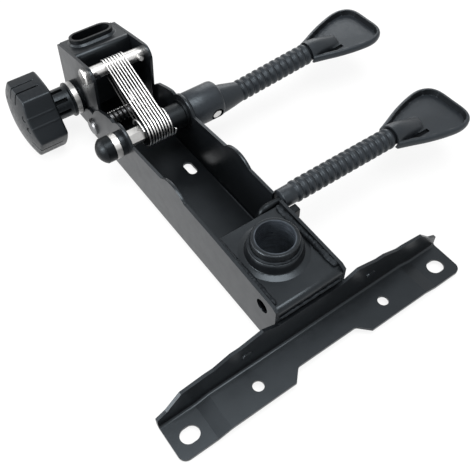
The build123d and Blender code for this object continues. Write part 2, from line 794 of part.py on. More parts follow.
def ribbed_profile(start, length, ribs, crest):
    """Outline points of a row of ribs: places along the grip and radii."""
    root = crest - grip_valley
    pitch = length / ribs
    slope_share = 0.18
    crest_share = 0.34
    points = []
    for number in range(ribs):
        begin = start + pitch * number
        points.append((begin, root))
        points.append((begin + pitch * slope_share, crest))
        points.append((begin + pitch * (slope_share + crest_share), crest))
        points.append((begin + pitch * (2 * slope_share + crest_share), root))
    return points


def paddle():
    """Hollow-backed paddle of a lever, lying along Y with its mouth at the origin."""
    half = [(paddle_half_width * aside, paddle_length * along) for along, aside in paddle_half_shares]
    left = [(-aside, along) for aside, along in half[::-1]]
    outline = outline_of(*(half + left))
    outline = rounded(outline, [half[3], left[0]], paddle_corner_round)
    outline = rounded(outline, [half[1], half[2], left[1], left[2]], paddle_side_round)
    bottom = -paddle_drop - paddle_height / 2
    body = flat_slab(outline, bottom, bottom + paddle_height)
    lower_edges = body.faces().sort_by(Axis.Z)[0].edges()
    body = fillet(lower_edges, paddle_edge_round)
    recess = offset(outline, -paddle_rim, kind=Kind.ARC)
    body -= flat_slab(recess, bottom + paddle_floor, bottom + 2 * paddle_height)
    body += round_along_y(paddle_mouth_radius, 0, 0, 0, paddle_mouth_length)
    boss_start = Plane.XZ * Circle(paddle_boss_radius)
    boss_end = Plane.XZ.offset(-paddle_boss_length) * Circle(paddle_boss_tip_radius)
    body += loft([boss_start.face(), boss_end.face()], ruled=True)
    floor_low = Pos(0, paddle_length / 2, bottom - paddle_mouth_radius)
    body -= floor_low * Box(4 * paddle_half_width, 2 * paddle_length, 2 * paddle_mouth_radius)
    slot_aside = paddle_boss_tip_radius + paddle_slot_width
    slot = Pos(slot_aside, paddle_slot_along, bottom) * Box(paddle_slot_width, paddle_slot_length,
                                                            4 * paddle_floor)
    return body - slot


def tilt_frame():
    """Frame at the start of the tilt lever's grip, leaning away from the seat."""
    along = channel_half_width + soft_clearance + hub_length + neck_length
    return Location((-rod_back, along, rod_height - tilt_grip_drop)) * Rot(tilt_grip_rise, 0, 0)


def tilt_lever_grip():
    """Grip of the tilt lever: hub, shouldered neck and ribbed stem."""
    start = channel_half_width + soft_clearance
    hub_end = start + hub_length
    points = [(start, 0), (start, hub_radius), (hub_end - hub_round, hub_radius),
              (hub_end, hub_radius - hub_round), (hub_end, 0)]
    grip = turned_along_y(points, -rod_back, rod_height)
    wide = Plane(origin=(-rod_back, hub_end, rod_height - neck_drop), z_dir=(0, 1, 0)) * Circle(neck_radius)
    narrow = tilt_frame() * Rot(-90, 0, 0) * Circle(tilt_grip_radius)
    grip += loft([wide.face(), narrow.face()], ruled=True)
    root = tilt_grip_radius - grip_valley
    tip = tilt_grip_length + paddle_mouth_length
    ribs = [(0, 0)] + ribbed_profile(0, tilt_grip_length, tilt_grip_ribs, tilt_grip_radius)
    ribs += [(tip, root), (tip, 0)]
    grip += tilt_frame() * turned_along_y(ribs, 0, 0)
    grip -= spring_rod()
    return grip - screw_shape(tilt_screw_recess_radius, tilt_screw_radius)


def screw_place():
    """Frame of the cross screw: origin on the rod's axis, Z out through the hub to the front."""
    return Location((-rod_back, tilt_screw_aside, rod_height)) * Rot(0, tilt_screw_turn, 0)


def screw_shape(head_radius, shank_radius):
    """Head and shank that go in through the hub to the rod."""
    head_low = hub_radius - tilt_screw_recess_depth
    head = Pos(0, 0, head_low + hub_radius / 2) * Cylinder(head_radius, hub_radius)
    length = head_low - rod_radius
    shank = Pos(0, 0, rod_radius + length / 2) * Cylinder(shank_radius / 2, length)
    return screw_place() * (head + shank)


def tilt_lever_screw():
    """Set screw of the tilt lever, sunk in its recess."""
    screw = screw_shape(tilt_screw_radius, tilt_screw_radius)
    top = hub_radius - tilt_screw_recess_depth + tilt_screw_height
    outside = Pos(0, 0, top + hub_radius) * Box(4 * hub_radius, 4 * hub_radius, 2 * hub_radius)
    return screw - screw_place() * outside


def spring_rod():
    """Lock rod: round in its bushes, hexagonal beside the core and in the lever."""
    far = -channel_half_width - rod_collar_length - rod_washer_thickness - rod_cap_length / 2
    change = channel_half_width + soft_clearance
    end = change + hub_length
    hexagon = Pos(-rod_back, rod_height) * RegularPolygon(rod_radius, 6, major_radius=True, rotation=0)
    rod = round_along_y(rod_radius, -rod_back, rod_height, far, -rod_bare_start)
    wide = Pos(-rod_back, rod_height) * RegularPolygon(rod_hexagon_radius, 6, major_radius=True, rotation=0)
    rod += side_slab(wide, -rod_bare_start, -core_left - soft_clearance)
    rod += round_along_y(rod_radius, -rod_back, rod_height, -core_left - soft_clearance, change)
    return rod + side_slab(hexagon, change, end)


def rod_washer():
    """Plated washer outside the left collar."""
    face = -channel_half_width - rod_collar_length - ring_gap
    return tube_along_y(rod_washer_radius, rod_radius, -rod_back, rod_height, face - rod_washer_thickness, face)


def rod_cap():
    """Domed push-on cap over the left end of the rod."""
    near = -channel_half_width - rod_collar_length - ring_gap - rod_washer_thickness
    far = near - rod_cap_length
    plane = Plane(origin=(-rod_back, 0, rod_height), x_dir=(0, 1, 0), z_dir=(1, 0, 0))
    sphere = (rod_cap_radius * rod_cap_radius + rod_cap_dome * rod_cap_dome) / (2 * rod_cap_dome)
    half = math.asin(rod_cap_radius / sphere) / 2
    middle = (far + sphere * (1 - math.cos(half)), sphere * math.sin(half))
    shoulder = far + rod_cap_dome
    edge = [
        ThreePointArc((far, 0), middle, (shoulder, rod_cap_radius)),
        Line((shoulder, rod_cap_radius), (near, rod_cap_radius)),
        Line((near, rod_cap_radius), (near, 0)),
        Line((near, 0), (far, 0)),
    ]
    cap = revolve(plane * make_face(edge), Axis((-rod_back, 0, rod_height), (0, 1, 0)), 360)
    return cap - spring_rod()


def tilt_lever_paddle():
    """Paddle at the end of the tilt lever."""
    placed = tilt_frame() * Pos(0, tilt_grip_length, 0) * paddle()
    root = tilt_grip_radius - grip_valley
    stem = tilt_frame() * round_along_y(root, 0, 0, 0, tilt_grip_length + paddle_mouth_length)
    return placed - stem


def lift_crank():
    """Centre line of the lift lever's rod: straight through the wall, then down and in to the socket."""
    toe_start = Vector(-socket_mouth_radius, 0, lift_crank_bottom)
    points = [
        (-lift_back, lift_grip_start + lever_socket_depth, lift_height),
        (-lift_back, lift_crank_aside, lift_height),
        (-lift_back, 0, lift_crank_bottom),
        (toe_start.X + lift_toe_length / 2, 0, lift_crank_bottom),
    ]
    return FilletPolyline(*points, radius=lift_crank_bend)


def lift_lever_rod():
    """Cranked rod of the lift lever with a flattened toe under the gas lift valve."""
    path = lift_crank()
    start_way = Vector(0, -1, 0)
    profile = Plane(origin=path @ 0, z_dir=start_way) * Circle(lift_rod_radius)
    rod = sweep(profile, path=path)
    toe_x = -socket_mouth_radius + lift_toe_length
    toe = Pos(toe_x, 0, lift_crank_bottom) * Box(lift_toe_length, lift_toe_width, lift_toe_thickness)
    return rod + toe


def lift_lever_grip():
    """Ribbed stem of the lift lever, pushed over its rod."""
    first = lift_grip_start + lift_grip_root
    tip = first + lift_grip_length + paddle_mouth_length
    root = lift_grip_radius - grip_valley
    points = [(lift_grip_start, 0), (lift_grip_start, root), (first - head_round, root)]
    points += ribbed_profile(first, lift_grip_length, lift_grip_ribs, lift_grip_radius)
    points += [(tip, root), (tip, 0)]
    return turned_along_y(points, -lift_back, lift_height) - lift_lever_rod()


def lift_lever_paddle():
    """Paddle at the end of the lift lever."""
    along = lift_grip_start + lift_grip_root + lift_grip_length
    placed = Pos(-lift_back, along, lift_height) * paddle()
    root = lift_grip_radius - grip_valley
    return placed - round_along_y(root, -lift_back, lift_height, 0, along + paddle_mouth_length)


def lever_lug():
    """Stop lug on the right wall beside the lift lever."""
    block = Pos(-lug_back, channel_half_width + lug_depth / 2, lug_bottom + lug_height / 2)
    lug = block * Box(lug_width, lug_depth, lug_height)
    outer_edges = lug.edges().filter_by(Axis.Y)
    return fillet(outer_edges, lug_width / 5)


pieces = {
    "spine_channel": spine_channel(),
    "socket_plate": socket_plate(),
    "gas_lift_tube": gas_lift_tube(),
    "plate_weld_left": plate_welds(-1),
    "plate_weld_right": plate_welds(1),
    "socket_weld": socket_weld(),
    "front_rail": front_rail(),
    "pivot_pin": pivot_pin(),
    "rod_collar": rod_collar(),
    "rod_bush": rod_bush(),
    "spring_core": spring_core(),
    "tilt_spring": tilt_spring(),
    "pivot_spring": pivot_spring(),
    "lever_lug": lever_lug(),
    "cheek_left": cheek(-1),
    "cheek_right": cheek(1),
    "carrier_plate": carrier_plate(),
    "bar_sleeve": bar_sleeve(),
    "bar_liner": bar_liner(),
    "hook_pin": hook_pin(),
    "pin_dowel_left": pin_dowel(-1),
    "pin_dowel_right": pin_dowel(1),
    "pivot_bush_left": pivot_bush(-1),
    "pivot_bush_right": pivot_bush(1),
    "clutch_disc": clutch_disc(),
    "stud_nut": stud_nut(),
    "clamp_pad": clamp_pad(),
    "knob_stud": knob_stud(),
    "knob_ring": knob_ring(),
    "knob_hub": knob_hub(),
    "knob_body": knob_body(),
    "spring_rod": spring_rod(),
    "rod_washer": rod_washer(),
    "rod_cap": rod_cap(),
    "tilt_lever_screw": tilt_lever_screw(),
    "tilt_lever_grip": tilt_lever_grip(),
    "tilt_lever_paddle": tilt_lever_paddle(),
    "lift_lever_rod": lift_lever_rod(),
    "lift_lever_grip": lift_lever_grip(),
    "lift_lever_paddle": lift_lever_paddle(),
}

os.makedirs("parts", exist_ok=True)
for name, piece in pieces.items():
    export_step(piece, "parts/" + name + ".step")
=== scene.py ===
import bmesh
import bpy
import math
from mathutils import Matrix, Vector, noise


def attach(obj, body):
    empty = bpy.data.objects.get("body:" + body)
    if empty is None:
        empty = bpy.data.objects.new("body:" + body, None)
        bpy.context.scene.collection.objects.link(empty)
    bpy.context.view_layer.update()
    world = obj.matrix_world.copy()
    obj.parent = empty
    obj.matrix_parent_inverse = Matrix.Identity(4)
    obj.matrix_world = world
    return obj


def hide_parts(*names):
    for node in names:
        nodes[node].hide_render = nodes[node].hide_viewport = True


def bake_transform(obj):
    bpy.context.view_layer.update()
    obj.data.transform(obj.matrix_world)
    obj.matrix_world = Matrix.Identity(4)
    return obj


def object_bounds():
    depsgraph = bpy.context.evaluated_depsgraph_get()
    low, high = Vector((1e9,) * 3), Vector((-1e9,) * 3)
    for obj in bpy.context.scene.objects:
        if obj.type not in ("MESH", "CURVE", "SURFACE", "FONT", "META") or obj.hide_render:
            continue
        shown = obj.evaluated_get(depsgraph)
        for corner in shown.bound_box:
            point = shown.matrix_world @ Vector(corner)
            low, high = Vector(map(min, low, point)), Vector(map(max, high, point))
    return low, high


# Office chair tilt mechanism: looks of the CAD nodes, finer pieces, stage, light and camera.
# Shapes are in millimetres, as in the CAD source, and MM turns them into metres. Materials,
# modifiers, stage, lights and camera are in metres.

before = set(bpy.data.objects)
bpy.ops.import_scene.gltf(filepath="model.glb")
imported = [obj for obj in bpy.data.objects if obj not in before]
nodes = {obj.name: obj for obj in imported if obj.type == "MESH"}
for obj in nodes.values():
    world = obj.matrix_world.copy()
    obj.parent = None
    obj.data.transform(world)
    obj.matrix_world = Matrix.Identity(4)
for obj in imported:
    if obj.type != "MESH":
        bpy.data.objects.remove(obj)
cad_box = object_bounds()

MM = 0.001
FULL_TURN = 2 * math.pi


def metres(x, y, z):
    return Vector((x * MM, y * MM, z * MM))


# Axes of the CAD model, all along Y: lock rod, hook pin, tilt pivot, knob and lift lever
ROD_X, ROD_Z = -162.5, 43.0
KNOB_X, KNOB_Z = -250.3, 30.5
LIFT_X, LIFT_Z = -35.4, 47.2
ROD = metres(ROD_X, 0, ROD_Z)
HOOK = metres(-222.0, 0, 70.0)
PIVOT = metres(-221.2, 0, 16.5)


# Materials

SPECULAR_TINT = (0.80, 0.91, 1.0, 1.0)
BLUISH = (0.84, 1.0, 1.22)


def new_material(name):
    mat = bpy.data.materials.new(name)
    mat.use_nodes = True
    tree = mat.node_tree
    return mat, tree, tree.nodes["Principled BSDF"]


def grey(value, tint=(1, 1, 1)):
    return (value * tint[0], value * tint[1], value * tint[2], 1)


def noise_at(tree, scale, detail, rough=0.55, stretch=None):
    """Noise in the object's own coordinates, which stretch scales along each axis."""
    place = tree.nodes.new("ShaderNodeTexCoord").outputs["Object"]
    if stretch:
        mapping = tree.nodes.new("ShaderNodeMapping")
        mapping.inputs["Scale"].default_value = stretch
        tree.links.new(place, mapping.inputs["Vector"])
        place = mapping.outputs["Vector"]
    tex = tree.nodes.new("ShaderNodeTexNoise")
    tex.inputs["Scale"].default_value = scale
    tex.inputs["Detail"].default_value = detail
    tex.inputs["Roughness"].default_value = rough
    tree.links.new(place, tex.inputs["Vector"])
    return tex


def ramp(tree, tex, low, high, start=0.3, end=0.7):
    """Colour that goes from low to high where the texture goes from start to end."""
    node = tree.nodes.new("ShaderNodeValToRGB")
    first, last = node.color_ramp.elements
    first.position, first.color = start, low
    last.position, last.color = end, high
    tree.links.new(tex.outputs["Fac"], node.inputs["Fac"])
    return node.outputs["Color"]


def bumped(tree, bsdf, *layers):
    """Lays bumps over those that are there: each has a texture, a strength and a height."""
    normal = bsdf.inputs["Normal"]
    for tex, strength, height in layers:
        bump = tree.nodes.new("ShaderNodeBump")
        bump.inputs["Strength"].default_value = strength
        bump.inputs["Distance"].default_value = height
        tree.links.new(tex.outputs["Fac"], bump.inputs["Height"])
        if normal.is_linked:
            tree.links.new(normal.links[0].from_socket, bump.inputs["Normal"])
        tree.links.new(bump.outputs["Normal"], normal)


def painted(name, low, high, rough_low, rough_high, gloss):
    """Semi-gloss coat on steel: uneven tone and gloss, faint orange peel and waves."""
    mat, tree, bsdf = new_material(name)
    tone = noise_at(tree, scale=28.0, detail=4.0)
    colour = ramp(tree, tone, grey(low, BLUISH), grey(high, BLUISH), end=0.75)
    tree.links.new(colour, bsdf.inputs["Base Color"])
    smear = noise_at(tree, scale=95.0, detail=5.0, rough=0.6)
    rough = ramp(tree, smear, grey(rough_low), grey(rough_high))
    tree.links.new(rough, bsdf.inputs["Roughness"])
    bsdf.inputs["Specular IOR Level"].default_value = gloss
    bsdf.inputs["Specular Tint"].default_value = SPECULAR_TINT
    peel = noise_at(tree, scale=620.0, detail=2.0)
    wave = noise_at(tree, scale=60.0, detail=2.0)
    bumped(tree, bsdf, (peel, 0.18, 0.00005), (wave, 0.1, 0.0003))
    return mat


def moulded(name, low, high, rough, gloss):
    """Moulded nylon with a fine eroded surface and faint flow marks."""
    mat, tree, bsdf = new_material(name)
    flow = noise_at(tree, scale=34.0, detail=4.0, rough=0.6, stretch=(1.0, 0.35, 1.0))
    colour = ramp(tree, flow, grey(low, BLUISH), grey(high, BLUISH), end=0.72)
    tree.links.new(colour, bsdf.inputs["Base Color"])
    spots = noise_at(tree, scale=420.0, detail=3.0)
    value = ramp(tree, spots, grey(rough - 0.06), grey(rough + 0.08), start=0.35, end=0.68)
    tree.links.new(value, bsdf.inputs["Roughness"])
    bsdf.inputs["Specular IOR Level"].default_value = gloss
    bsdf.inputs["Specular Tint"].default_value = SPECULAR_TINT
    grain = noise_at(tree, scale=1500.0, detail=2.0)
    bumped(tree, bsdf, (grain, 0.4, 0.00009))
    return mat


def metal(name, low, high, tint, rough_low, rough_high):
    """Bare or plated metal with faint clouds and uneven gloss."""
    mat, tree, bsdf = new_material(name)
    bsdf.inputs["Metallic"].default_value = 1.0
    cloud = noise_at(tree, scale=70.0, detail=4.0)
    tree.links.new(ramp(tree, cloud, grey(low, tint), grey(high, tint)), bsdf.inputs["Base Color"])
    fine = noise_at(tree, scale=110.0, detail=2.0, rough=0.5)
    rough = ramp(tree, fine, grey(rough_low), grey(rough_high))
    tree.links.new(rough, bsdf.inputs["Roughness"])
    bumped(tree, bsdf, (fine, 0.08, 0.00002))
    return mat


def turned_lines(mat, scale, depth):
    """Fine lathe lines round Z, laid over the bump that is there."""
    tree = mat.node_tree
    coord = tree.nodes.new("ShaderNodeTexCoord")
    wave = tree.nodes.new("ShaderNodeTexWave")
    wave.bands_direction = "Z"
    wave.inputs["Scale"].default_value = scale
    wave.inputs["Distortion"].default_value = 1.5
    wave.inputs["Detail"].default_value = 2.0
    wave.inputs["Detail Scale"].default_value = 0.4
    tree.links.new(coord.outputs["Object"], wave.inputs["Vector"])
    bumped(tree, tree.nodes["Principled BSDF"], (wave, 0.6, depth))


def bare_bore(mat, radius, fade, value):
    """Lighter bare steel with streaks within a radius round Z, the paint beyond it."""
    tree = mat.node_tree
    colour_in = tree.nodes["Principled BSDF"].inputs["Base Color"]
    paint = colour_in.links[0].from_socket
    coord = tree.nodes.new("ShaderNodeTexCoord")
    flat = tree.nodes.new("ShaderNodeVectorMath")
    flat.operation = "MULTIPLY"
    flat.inputs[1].default_value = (1, 1, 0)
    far = tree.nodes.new("ShaderNodeVectorMath")
    far.operation = "LENGTH"
    mask = tree.nodes.new("ShaderNodeMapRange")
    mask.inputs["From Min"].default_value = radius + fade
    mask.inputs["From Max"].default_value = radius
    tree.links.new(coord.outputs["Object"], flat.inputs[0])
    tree.links.new(flat.outputs["Vector"], far.inputs[0])
    tree.links.new(far.outputs["Value"], mask.inputs["Value"])
    streak = noise_at(tree, scale=160.0, detail=5.0, rough=0.65, stretch=(0.6, 0.6, 5.0))
    dark, light = grey(value * 0.4, BLUISH), grey(value * 1.7, BLUISH)
    bare = ramp(tree, streak, dark, light, start=0.35, end=0.65)
    mix = tree.nodes.new("ShaderNodeMix")
    mix.data_type = "RGBA"
    tree.links.new(mask.outputs["Result"], mix.inputs["Factor"])
    tree.links.new(paint, mix.inputs["A"])
    tree.links.new(bare, mix.inputs["B"])
    tree.links.new(mix.outputs["Result"], colour_in)


# Darkest and lightest tone, tint of the metals, roughness, and gloss of the others
PAINT = painted("black_paint_coat", 0.0025, 0.005, 0.29, 0.36, gloss=0.37)
# Darker, less glossy copy of the black paint for parts deep in the mechanism: painted shade, as on
# the lift lever rod; the other inner parts get the same darker tone.
PAINT_INNER_SHADE = painted("black_paint_inner_painted_shade", 0.001, 0.002, 0.34, 0.46, gloss=0.22)
WELD = painted("painted_weld", 0.004, 0.008, 0.5, 0.62, gloss=0.2)
TURNED = painted("painted_turned_steel", 0.002, 0.004, 0.25, 0.38, gloss=0.34)
turned_lines(TURNED, scale=420.0, depth=0.0002)
bare_bore(TURNED, radius=0.0148, fade=0.0003, value=0.042)
NYLON = moulded("grey_black_nylon", 0.008, 0.014, rough=0.38, gloss=0.36)
NYLON_KNOB = moulded("black_nylon_knob", 0.003, 0.006, rough=0.36, gloss=0.27)
NYLON_DARK = moulded("black_nylon", 0.001, 0.003, rough=0.36, gloss=0.18)
# Nearly black, matt nylon: painted shade in the knob's grooves and marks, the hub's slots and the
# paddles' recesses.
NYLON_HOLLOW_SHADE = moulded("black_nylon_painted_hollow_shade", 0.001, 0.002, rough=0.7, gloss=0.1)
# Dark, matt nylon: painted shade on the paddles' dish wall under the rim.
NYLON_WALL_SHADE = moulded("black_nylon_painted_wall_shade", 0.002, 0.004, rough=0.6, gloss=0.15)
ZINC = metal("zinc_plate", 0.5, 0.64, (1.0, 0.995, 0.98), 0.3, 0.38)
WIRE = metal("spring_wire_plate", 0.78, 0.92, (1.0, 1.0, 0.99), 0.28, 0.36)
# Very dark wire: painted shade on the spring belt's lower run; the coil on the pivot pin gets the
# same dark tone.
WIRE_DARK_SHADE = metal("spring_wire_dark_painted_shade", 0.02, 0.05, (1.0, 1.0, 1.0), 0.45, 0.6)
STEEL = metal("oiled_steel", 0.14, 0.26, (0.98, 1.0, 1.04), 0.3, 0.42)
BRASS = metal("turned_brass", 0.5, 0.62, (1.0, 0.78, 0.4), 0.25, 0.35)

LOOKS = [
    (PAINT, ["spine_channel", "socket_plate", "front_rail", "plate_weld_left", "plate_weld_right",
             "socket_weld", "cheek_left", "cheek_right", "carrier_plate", "rod_collar"]),
    # These parts take the darker inner paint, which paints shade on them.
    (PAINT_INNER_SHADE, ["lever_lug", "bar_sleeve", "rod_bush", "spring_core", "pin_dowel_left",
                  "clutch_disc", "lift_lever_rod"]),
    (TURNED, ["gas_lift_tube"]),
    (NYLON, ["tilt_lever_grip", "tilt_lever_paddle", "lift_lever_grip", "lift_lever_paddle"]),
    (NYLON_KNOB, ["knob_hub", "knob_body"]),
    (NYLON_DARK, ["bar_liner", "rod_cap"]),
    (ZINC, ["hook_pin", "pin_dowel_right", "stud_nut", "knob_ring", "spring_rod", "rod_washer",
            "tilt_lever_screw"]),
    (WIRE, ["tilt_spring"]),
    (WIRE_DARK_SHADE, ["pivot_spring"]),
    (STEEL, ["pivot_pin", "pivot_bush_left", "pivot_bush_right", "knob_stud"]),
    (BRASS, ["clamp_pad"]),
]
for mat, names in LOOKS:
    for name in names:
        o = nodes[name]
        if not o.material_slots:
            o.data.materials.append(mat)
        for slot in o.material_slots:
            slot.material = mat


# Tools for the finer pieces

def turn_outward(mesh):
    bm = bmesh.new()
    bm.from_mesh(mesh)
    bmesh.ops.recalc_face_normals(bm, faces=bm.faces)
    bm.to_mesh(mesh)
    bm.free()


def piece(name, verts, faces, mat, body, *nodes_replaced):
    """Object from points in millimetres. One without a body gets it later."""
    mesh = bpy.data.meshes.new(name)
    mesh.from_pydata([Vector(v) * MM for v in verts], [], faces)
    mesh.materials.append(mat)
    turn_outward(mesh)
    for p in mesh.polygons:
        p.use_smooth = True
    o = bpy.data.objects.new(name, mesh)
    bpy.context.scene.collection.objects.link(o)
    if body:
        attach(o, body)
    if nodes_replaced:
        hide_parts(*nodes_replaced)
    return o


def crease(o, degrees):
    for p in o.data.polygons:
        p.use_smooth = True
    o.data.set_sharp_from_angle(angle=math.radians(degrees))


def cut(target, verts, faces):
    """Takes a closed shape out of a finer piece."""
    mesh = bpy.data.meshes.new("cutter")
    mesh.from_pydata([Vector(v) * MM for v in verts], [], faces)
    turn_outward(mesh)
    cutter = bpy.data.objects.new("cutter", mesh)
    bpy.context.scene.collection.objects.link(cutter)
    mod = target.modifiers.new("cut", "BOOLEAN")
    mod.operation = "DIFFERENCE"
    mod.solver = "EXACT"
    mod.object = cutter
    bpy.context.view_layer.update()
    graph = bpy.context.evaluated_depsgraph_get()
    done = bpy.data.meshes.new_from_object(target.evaluated_get(graph))
    target.modifiers.remove(mod)
    target.data = done
    bpy.data.objects.remove(cutter)
    bpy.data.meshes.remove(mesh)


def skin(rings):
    """Faces between rings of equally many points, with fans over both ends."""
    verts = [v for ring in rings for v in ring]
    n = len(rings[0])
    faces = []
    for k in range(len(rings) - 1):
        a, b = k * n, (k + 1) * n
        for j in range(n):
            faces.append((a + j, a + (j + 1) % n, b + (j + 1) % n, b + j))
    for start, ring in ((0, rings[0]), ((len(rings) - 1) * n, rings[-1])):
        centre = Vector((0, 0, 0))
        for v in ring:
            centre += Vector(v)
        verts.append(tuple(centre / n))
        hub = len(verts) - 1
        for j in range(n):
            faces.append((start + j, start + (j + 1) % n, hub))
    return verts, faces


def ring_at(centre, side, up, radius, count):
    angles = (FULL_TURN * k / count for k in range(count))
    return [tuple(centre + (side * math.cos(t) + up * math.sin(t)) * radius) for t in angles]


def rod_shape(start, end, radius, count=48):
    way = (end - start).normalized()
    side = way.orthogonal().normalized()
    up = way.cross(side)
    return skin([ring_at(start, side, up, radius, count), ring_at(end, side, up, radius, count)])


def smoothstep(a, b, x):
    t = min(1.0, max(0.0, (x - a) / (b - a)))
    return t * t * (3 - 2 * t)


def soft_max(a, b, k):
    h = max(k - abs(a - b), 0.0) / k
    return max(a, b) + h * h * k * 0.25


def soft_min(a, b, k):
    return -soft_max(-a, -b, k)


def bend(a, corner, b, reach, steps):
    """Smooth bend in place of a corner, from reach before it to reach after it."""
    a, corner, b = Vector(a), Vector(corner), Vector(b)
    p = corner + (a - corner).normalized() * reach
    q = corner + (b - corner).normalized() * reach
    shares = (k / steps for k in range(steps + 1))
    return [tuple(p * (1 - t) ** 2 + corner * (2 * t * (1 - t)) + q * t * t) for t in shares]


# Spring wire: a belt of turns round the core and the hook pin, with a plain turn at each end

WIRE_R = 0.63
CORE_R, PIN_R = 11.0, 5.6
WIRE_CLEAR = 0.25 + 0.85
CORE_TURN, PIN_TURN = CORE_R + WIRE_CLEAR, PIN_R + WIRE_CLEAR
TURN_PITCH, BELTS = 2.6, 8
END_PITCH, LAST_TURN, TAIL = 3.5, 0.75, 6.0
ARC_STEP, RUN_STEPS, TAIL_STEPS, LEAST_STEP = 1.1, 14, 5, 0.3
UNDER_DEPTH, UNDER_START = 3.5, 4.0


def wire_line():
    """Centre line of the wire from tail to tail."""
    core, pin = ROD / MM, HOOK / MM
    reach = (pin - core).length
    toward = (pin - core) / reach
    lift = Vector((toward.z, 0, -toward.x))
    lean = math.asin((CORE_TURN - PIN_TURN) / reach)
    straight = reach * math.cos(lean)
    core_wrap, pin_wrap = math.pi + 2 * lean, math.pi - 2 * lean
    slope = TURN_PITCH / (2 * straight + core_wrap * CORE_TURN + pin_wrap * PIN_TURN)
    line = []

    def on_turn(centre, radius, angle, y):
        out = toward * math.sin(angle) + lift * math.cos(angle)
        return centre + out * radius + Vector((0, y, 0))

    def forward_at(angle):
        return toward * math.cos(angle) - lift * math.sin(angle)

    def arc(centre, radius, angle, sweep, y, rise):
        steps = max(4, int(abs(sweep) * radius / ARC_STEP))
        for k in range(steps + 1):
            line.append(on_turn(centre, radius, angle + sweep * k / steps, y + rise * k / steps))

    def run(a_centre, a_radius, b_centre, b_radius, angle, y, rise):
        a = on_turn(a_centre, a_radius, angle, y)
        b = on_turn(b_centre, b_radius, angle, y + rise)
        for k in range(1, RUN_STEPS):
            line.append(a.lerp(b, k / RUN_STEPS))

    y = -END_PITCH - TURN_PITCH * BELTS / 2
    start_angle = lean - FULL_TURN
    first = on_turn(core, CORE_TURN, start_angle, y)
    for k in range(TAIL_STEPS):
        line.append(first - forward_at(start_angle) * TAIL * (TAIL_STEPS - k) / TAIL_STEPS)
    arc(core, CORE_TURN, start_angle, FULL_TURN, y, END_PITCH)
    y += END_PITCH
    there = (core, CORE_TURN, pin, PIN_TURN, lean, pin_wrap)
    back_again = (pin, PIN_TURN, core, CORE_TURN, lean + pin_wrap, core_wrap)
    for start, start_turn, end, end_turn, angle, wrap in (there, back_again) * BELTS:
        run(start, start_turn, end, end_turn, angle, y, slope * straight)
        y += slope * straight
        rise = slope * end_turn * wrap
        arc(end, end_turn, angle, wrap, y, rise)
        y += rise
    end_rise = LAST_TURN * END_PITCH
    arc(core, CORE_TURN, lean, LAST_TURN * FULL_TURN, y, end_rise)
    end_angle = lean + LAST_TURN * FULL_TURN
    last = on_turn(core, CORE_TURN, end_angle, y + end_rise)
    for k in range(1, TAIL_STEPS + 1):
        line.append(last + forward_at(end_angle) * TAIL * k / TAIL_STEPS)
    clean = [line[0]]
    for p in line[1:]:
        if (p - clean[-1]).length > LEAST_STEP:
            clean.append(p)
    return clean


def wire_tube(line, radius, count=10):
    rings = []
    normal = None
    for k, p in enumerate(line):
        way = (line[min(k + 1, len(line) - 1)] - line[max(k - 1, 0)]).normalized()
        if normal is None:
            normal = way.orthogonal().normalized()
        normal = (normal - way * normal.dot(way)).normalized()
        rings.append(ring_at(p, normal, way.cross(normal), radius, count))
    return skin(rings)


wire = piece("spring_wire", *wire_tube(wire_line(), WIRE_R), WIRE, None)
wire.data.materials.append(WIRE_DARK_SHADE)
belt_way = (HOOK - ROD).normalized()
belt_up = Vector((belt_way.z, 0, -belt_way.x))
# Faces of the belt's lower run, below the upper run, take the very dark wire: painted shade.
for p in wire.data.polygons:
    from_rod = (p.center - ROD) / MM
    if from_rod.dot(belt_up) < -UNDER_DEPTH and from_rod.dot(belt_way) > UNDER_START:
        p.material_index = 1
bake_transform(wire)
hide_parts("tilt_spring")


# Light coil on the pivot pin

COIL_TURNS, COIL_PITCH, COIL_R, COIL_STEPS = 9, 4.2, 6.25, 24

coil_line = []
for k in range(COIL_TURNS * COIL_STEPS + 1):
    t = FULL_TURN * k / COIL_STEPS
    y = COIL_PITCH * (k / COIL_STEPS - COIL_TURNS / 2)
    coil_line.append(PIVOT / MM + Vector((COIL_R * math.cos(t), y, -COIL_R * math.sin(t))))
# Drawn in the very dark wire that paints shade on the belt's lower run.
piece("pivot_coil", *wire_tube(coil_line, WIRE_R), WIRE_DARK_SHADE, "base", "pivot_spring")


# Lever grips: rounded ribs with a slightly uneven crest

GRIP_COUNT, GRIP_STEP, STEM_TAIL = 72, 0.5, 5.0
RIB_UP, RIB_DOWN, CREST_WOBBLE, WOBBLE_PACE = (0.0, 0.3), (0.55, 0.95), 0.06, 0.21
TILT_RISE = math.radians(4.6)
TILT_LENGTH, TILT_RIBS, TILT_CREST, TILT_VALLEY = 78.0, 12, 9.6, 1.35
LIFT_LENGTH, LIFT_RIBS, LIFT_CREST, LIFT_VALLEY = 101.0, 16, 8.8, 1.25
HUB_START, HUB_CLEAR, HUB_LENGTH, CONE_LENGTH, CONE_DROP = 30.8, 0.4, 31.0, 23.6, 4.8
CONE_START, CONE_R, CONE_END_R, CONE_BOW, CONE_STEPS = (ROD_X, 62.3, 40.0), 13.0, 9.0, 1.25, 12
TILT_HUB = [(31.2, 14.6), (31.5, 15.5), (32.2, 16.0), (46.0, 16.0), (58.5, 16.0), (60.4, 15.7),
            (61.6, 14.8), (62.1, 13.6)]
LIFT_FACE, LIFT_PLAIN = 32.4, 12.0
LIFT_SLEEVE = [(32.4, 7.4), (32.8, 7.9), (38.0, 7.9), (43.6, 7.9)]
SCREW_AT, SCREW_ANGLE = Vector((ROD_X, 53.5, ROD_Z)), math.radians(104.0)
SCREW_CUTS = [(12.6, 20, 6.0), (0, 14, 4.4)]  # inner end, outer end and radius


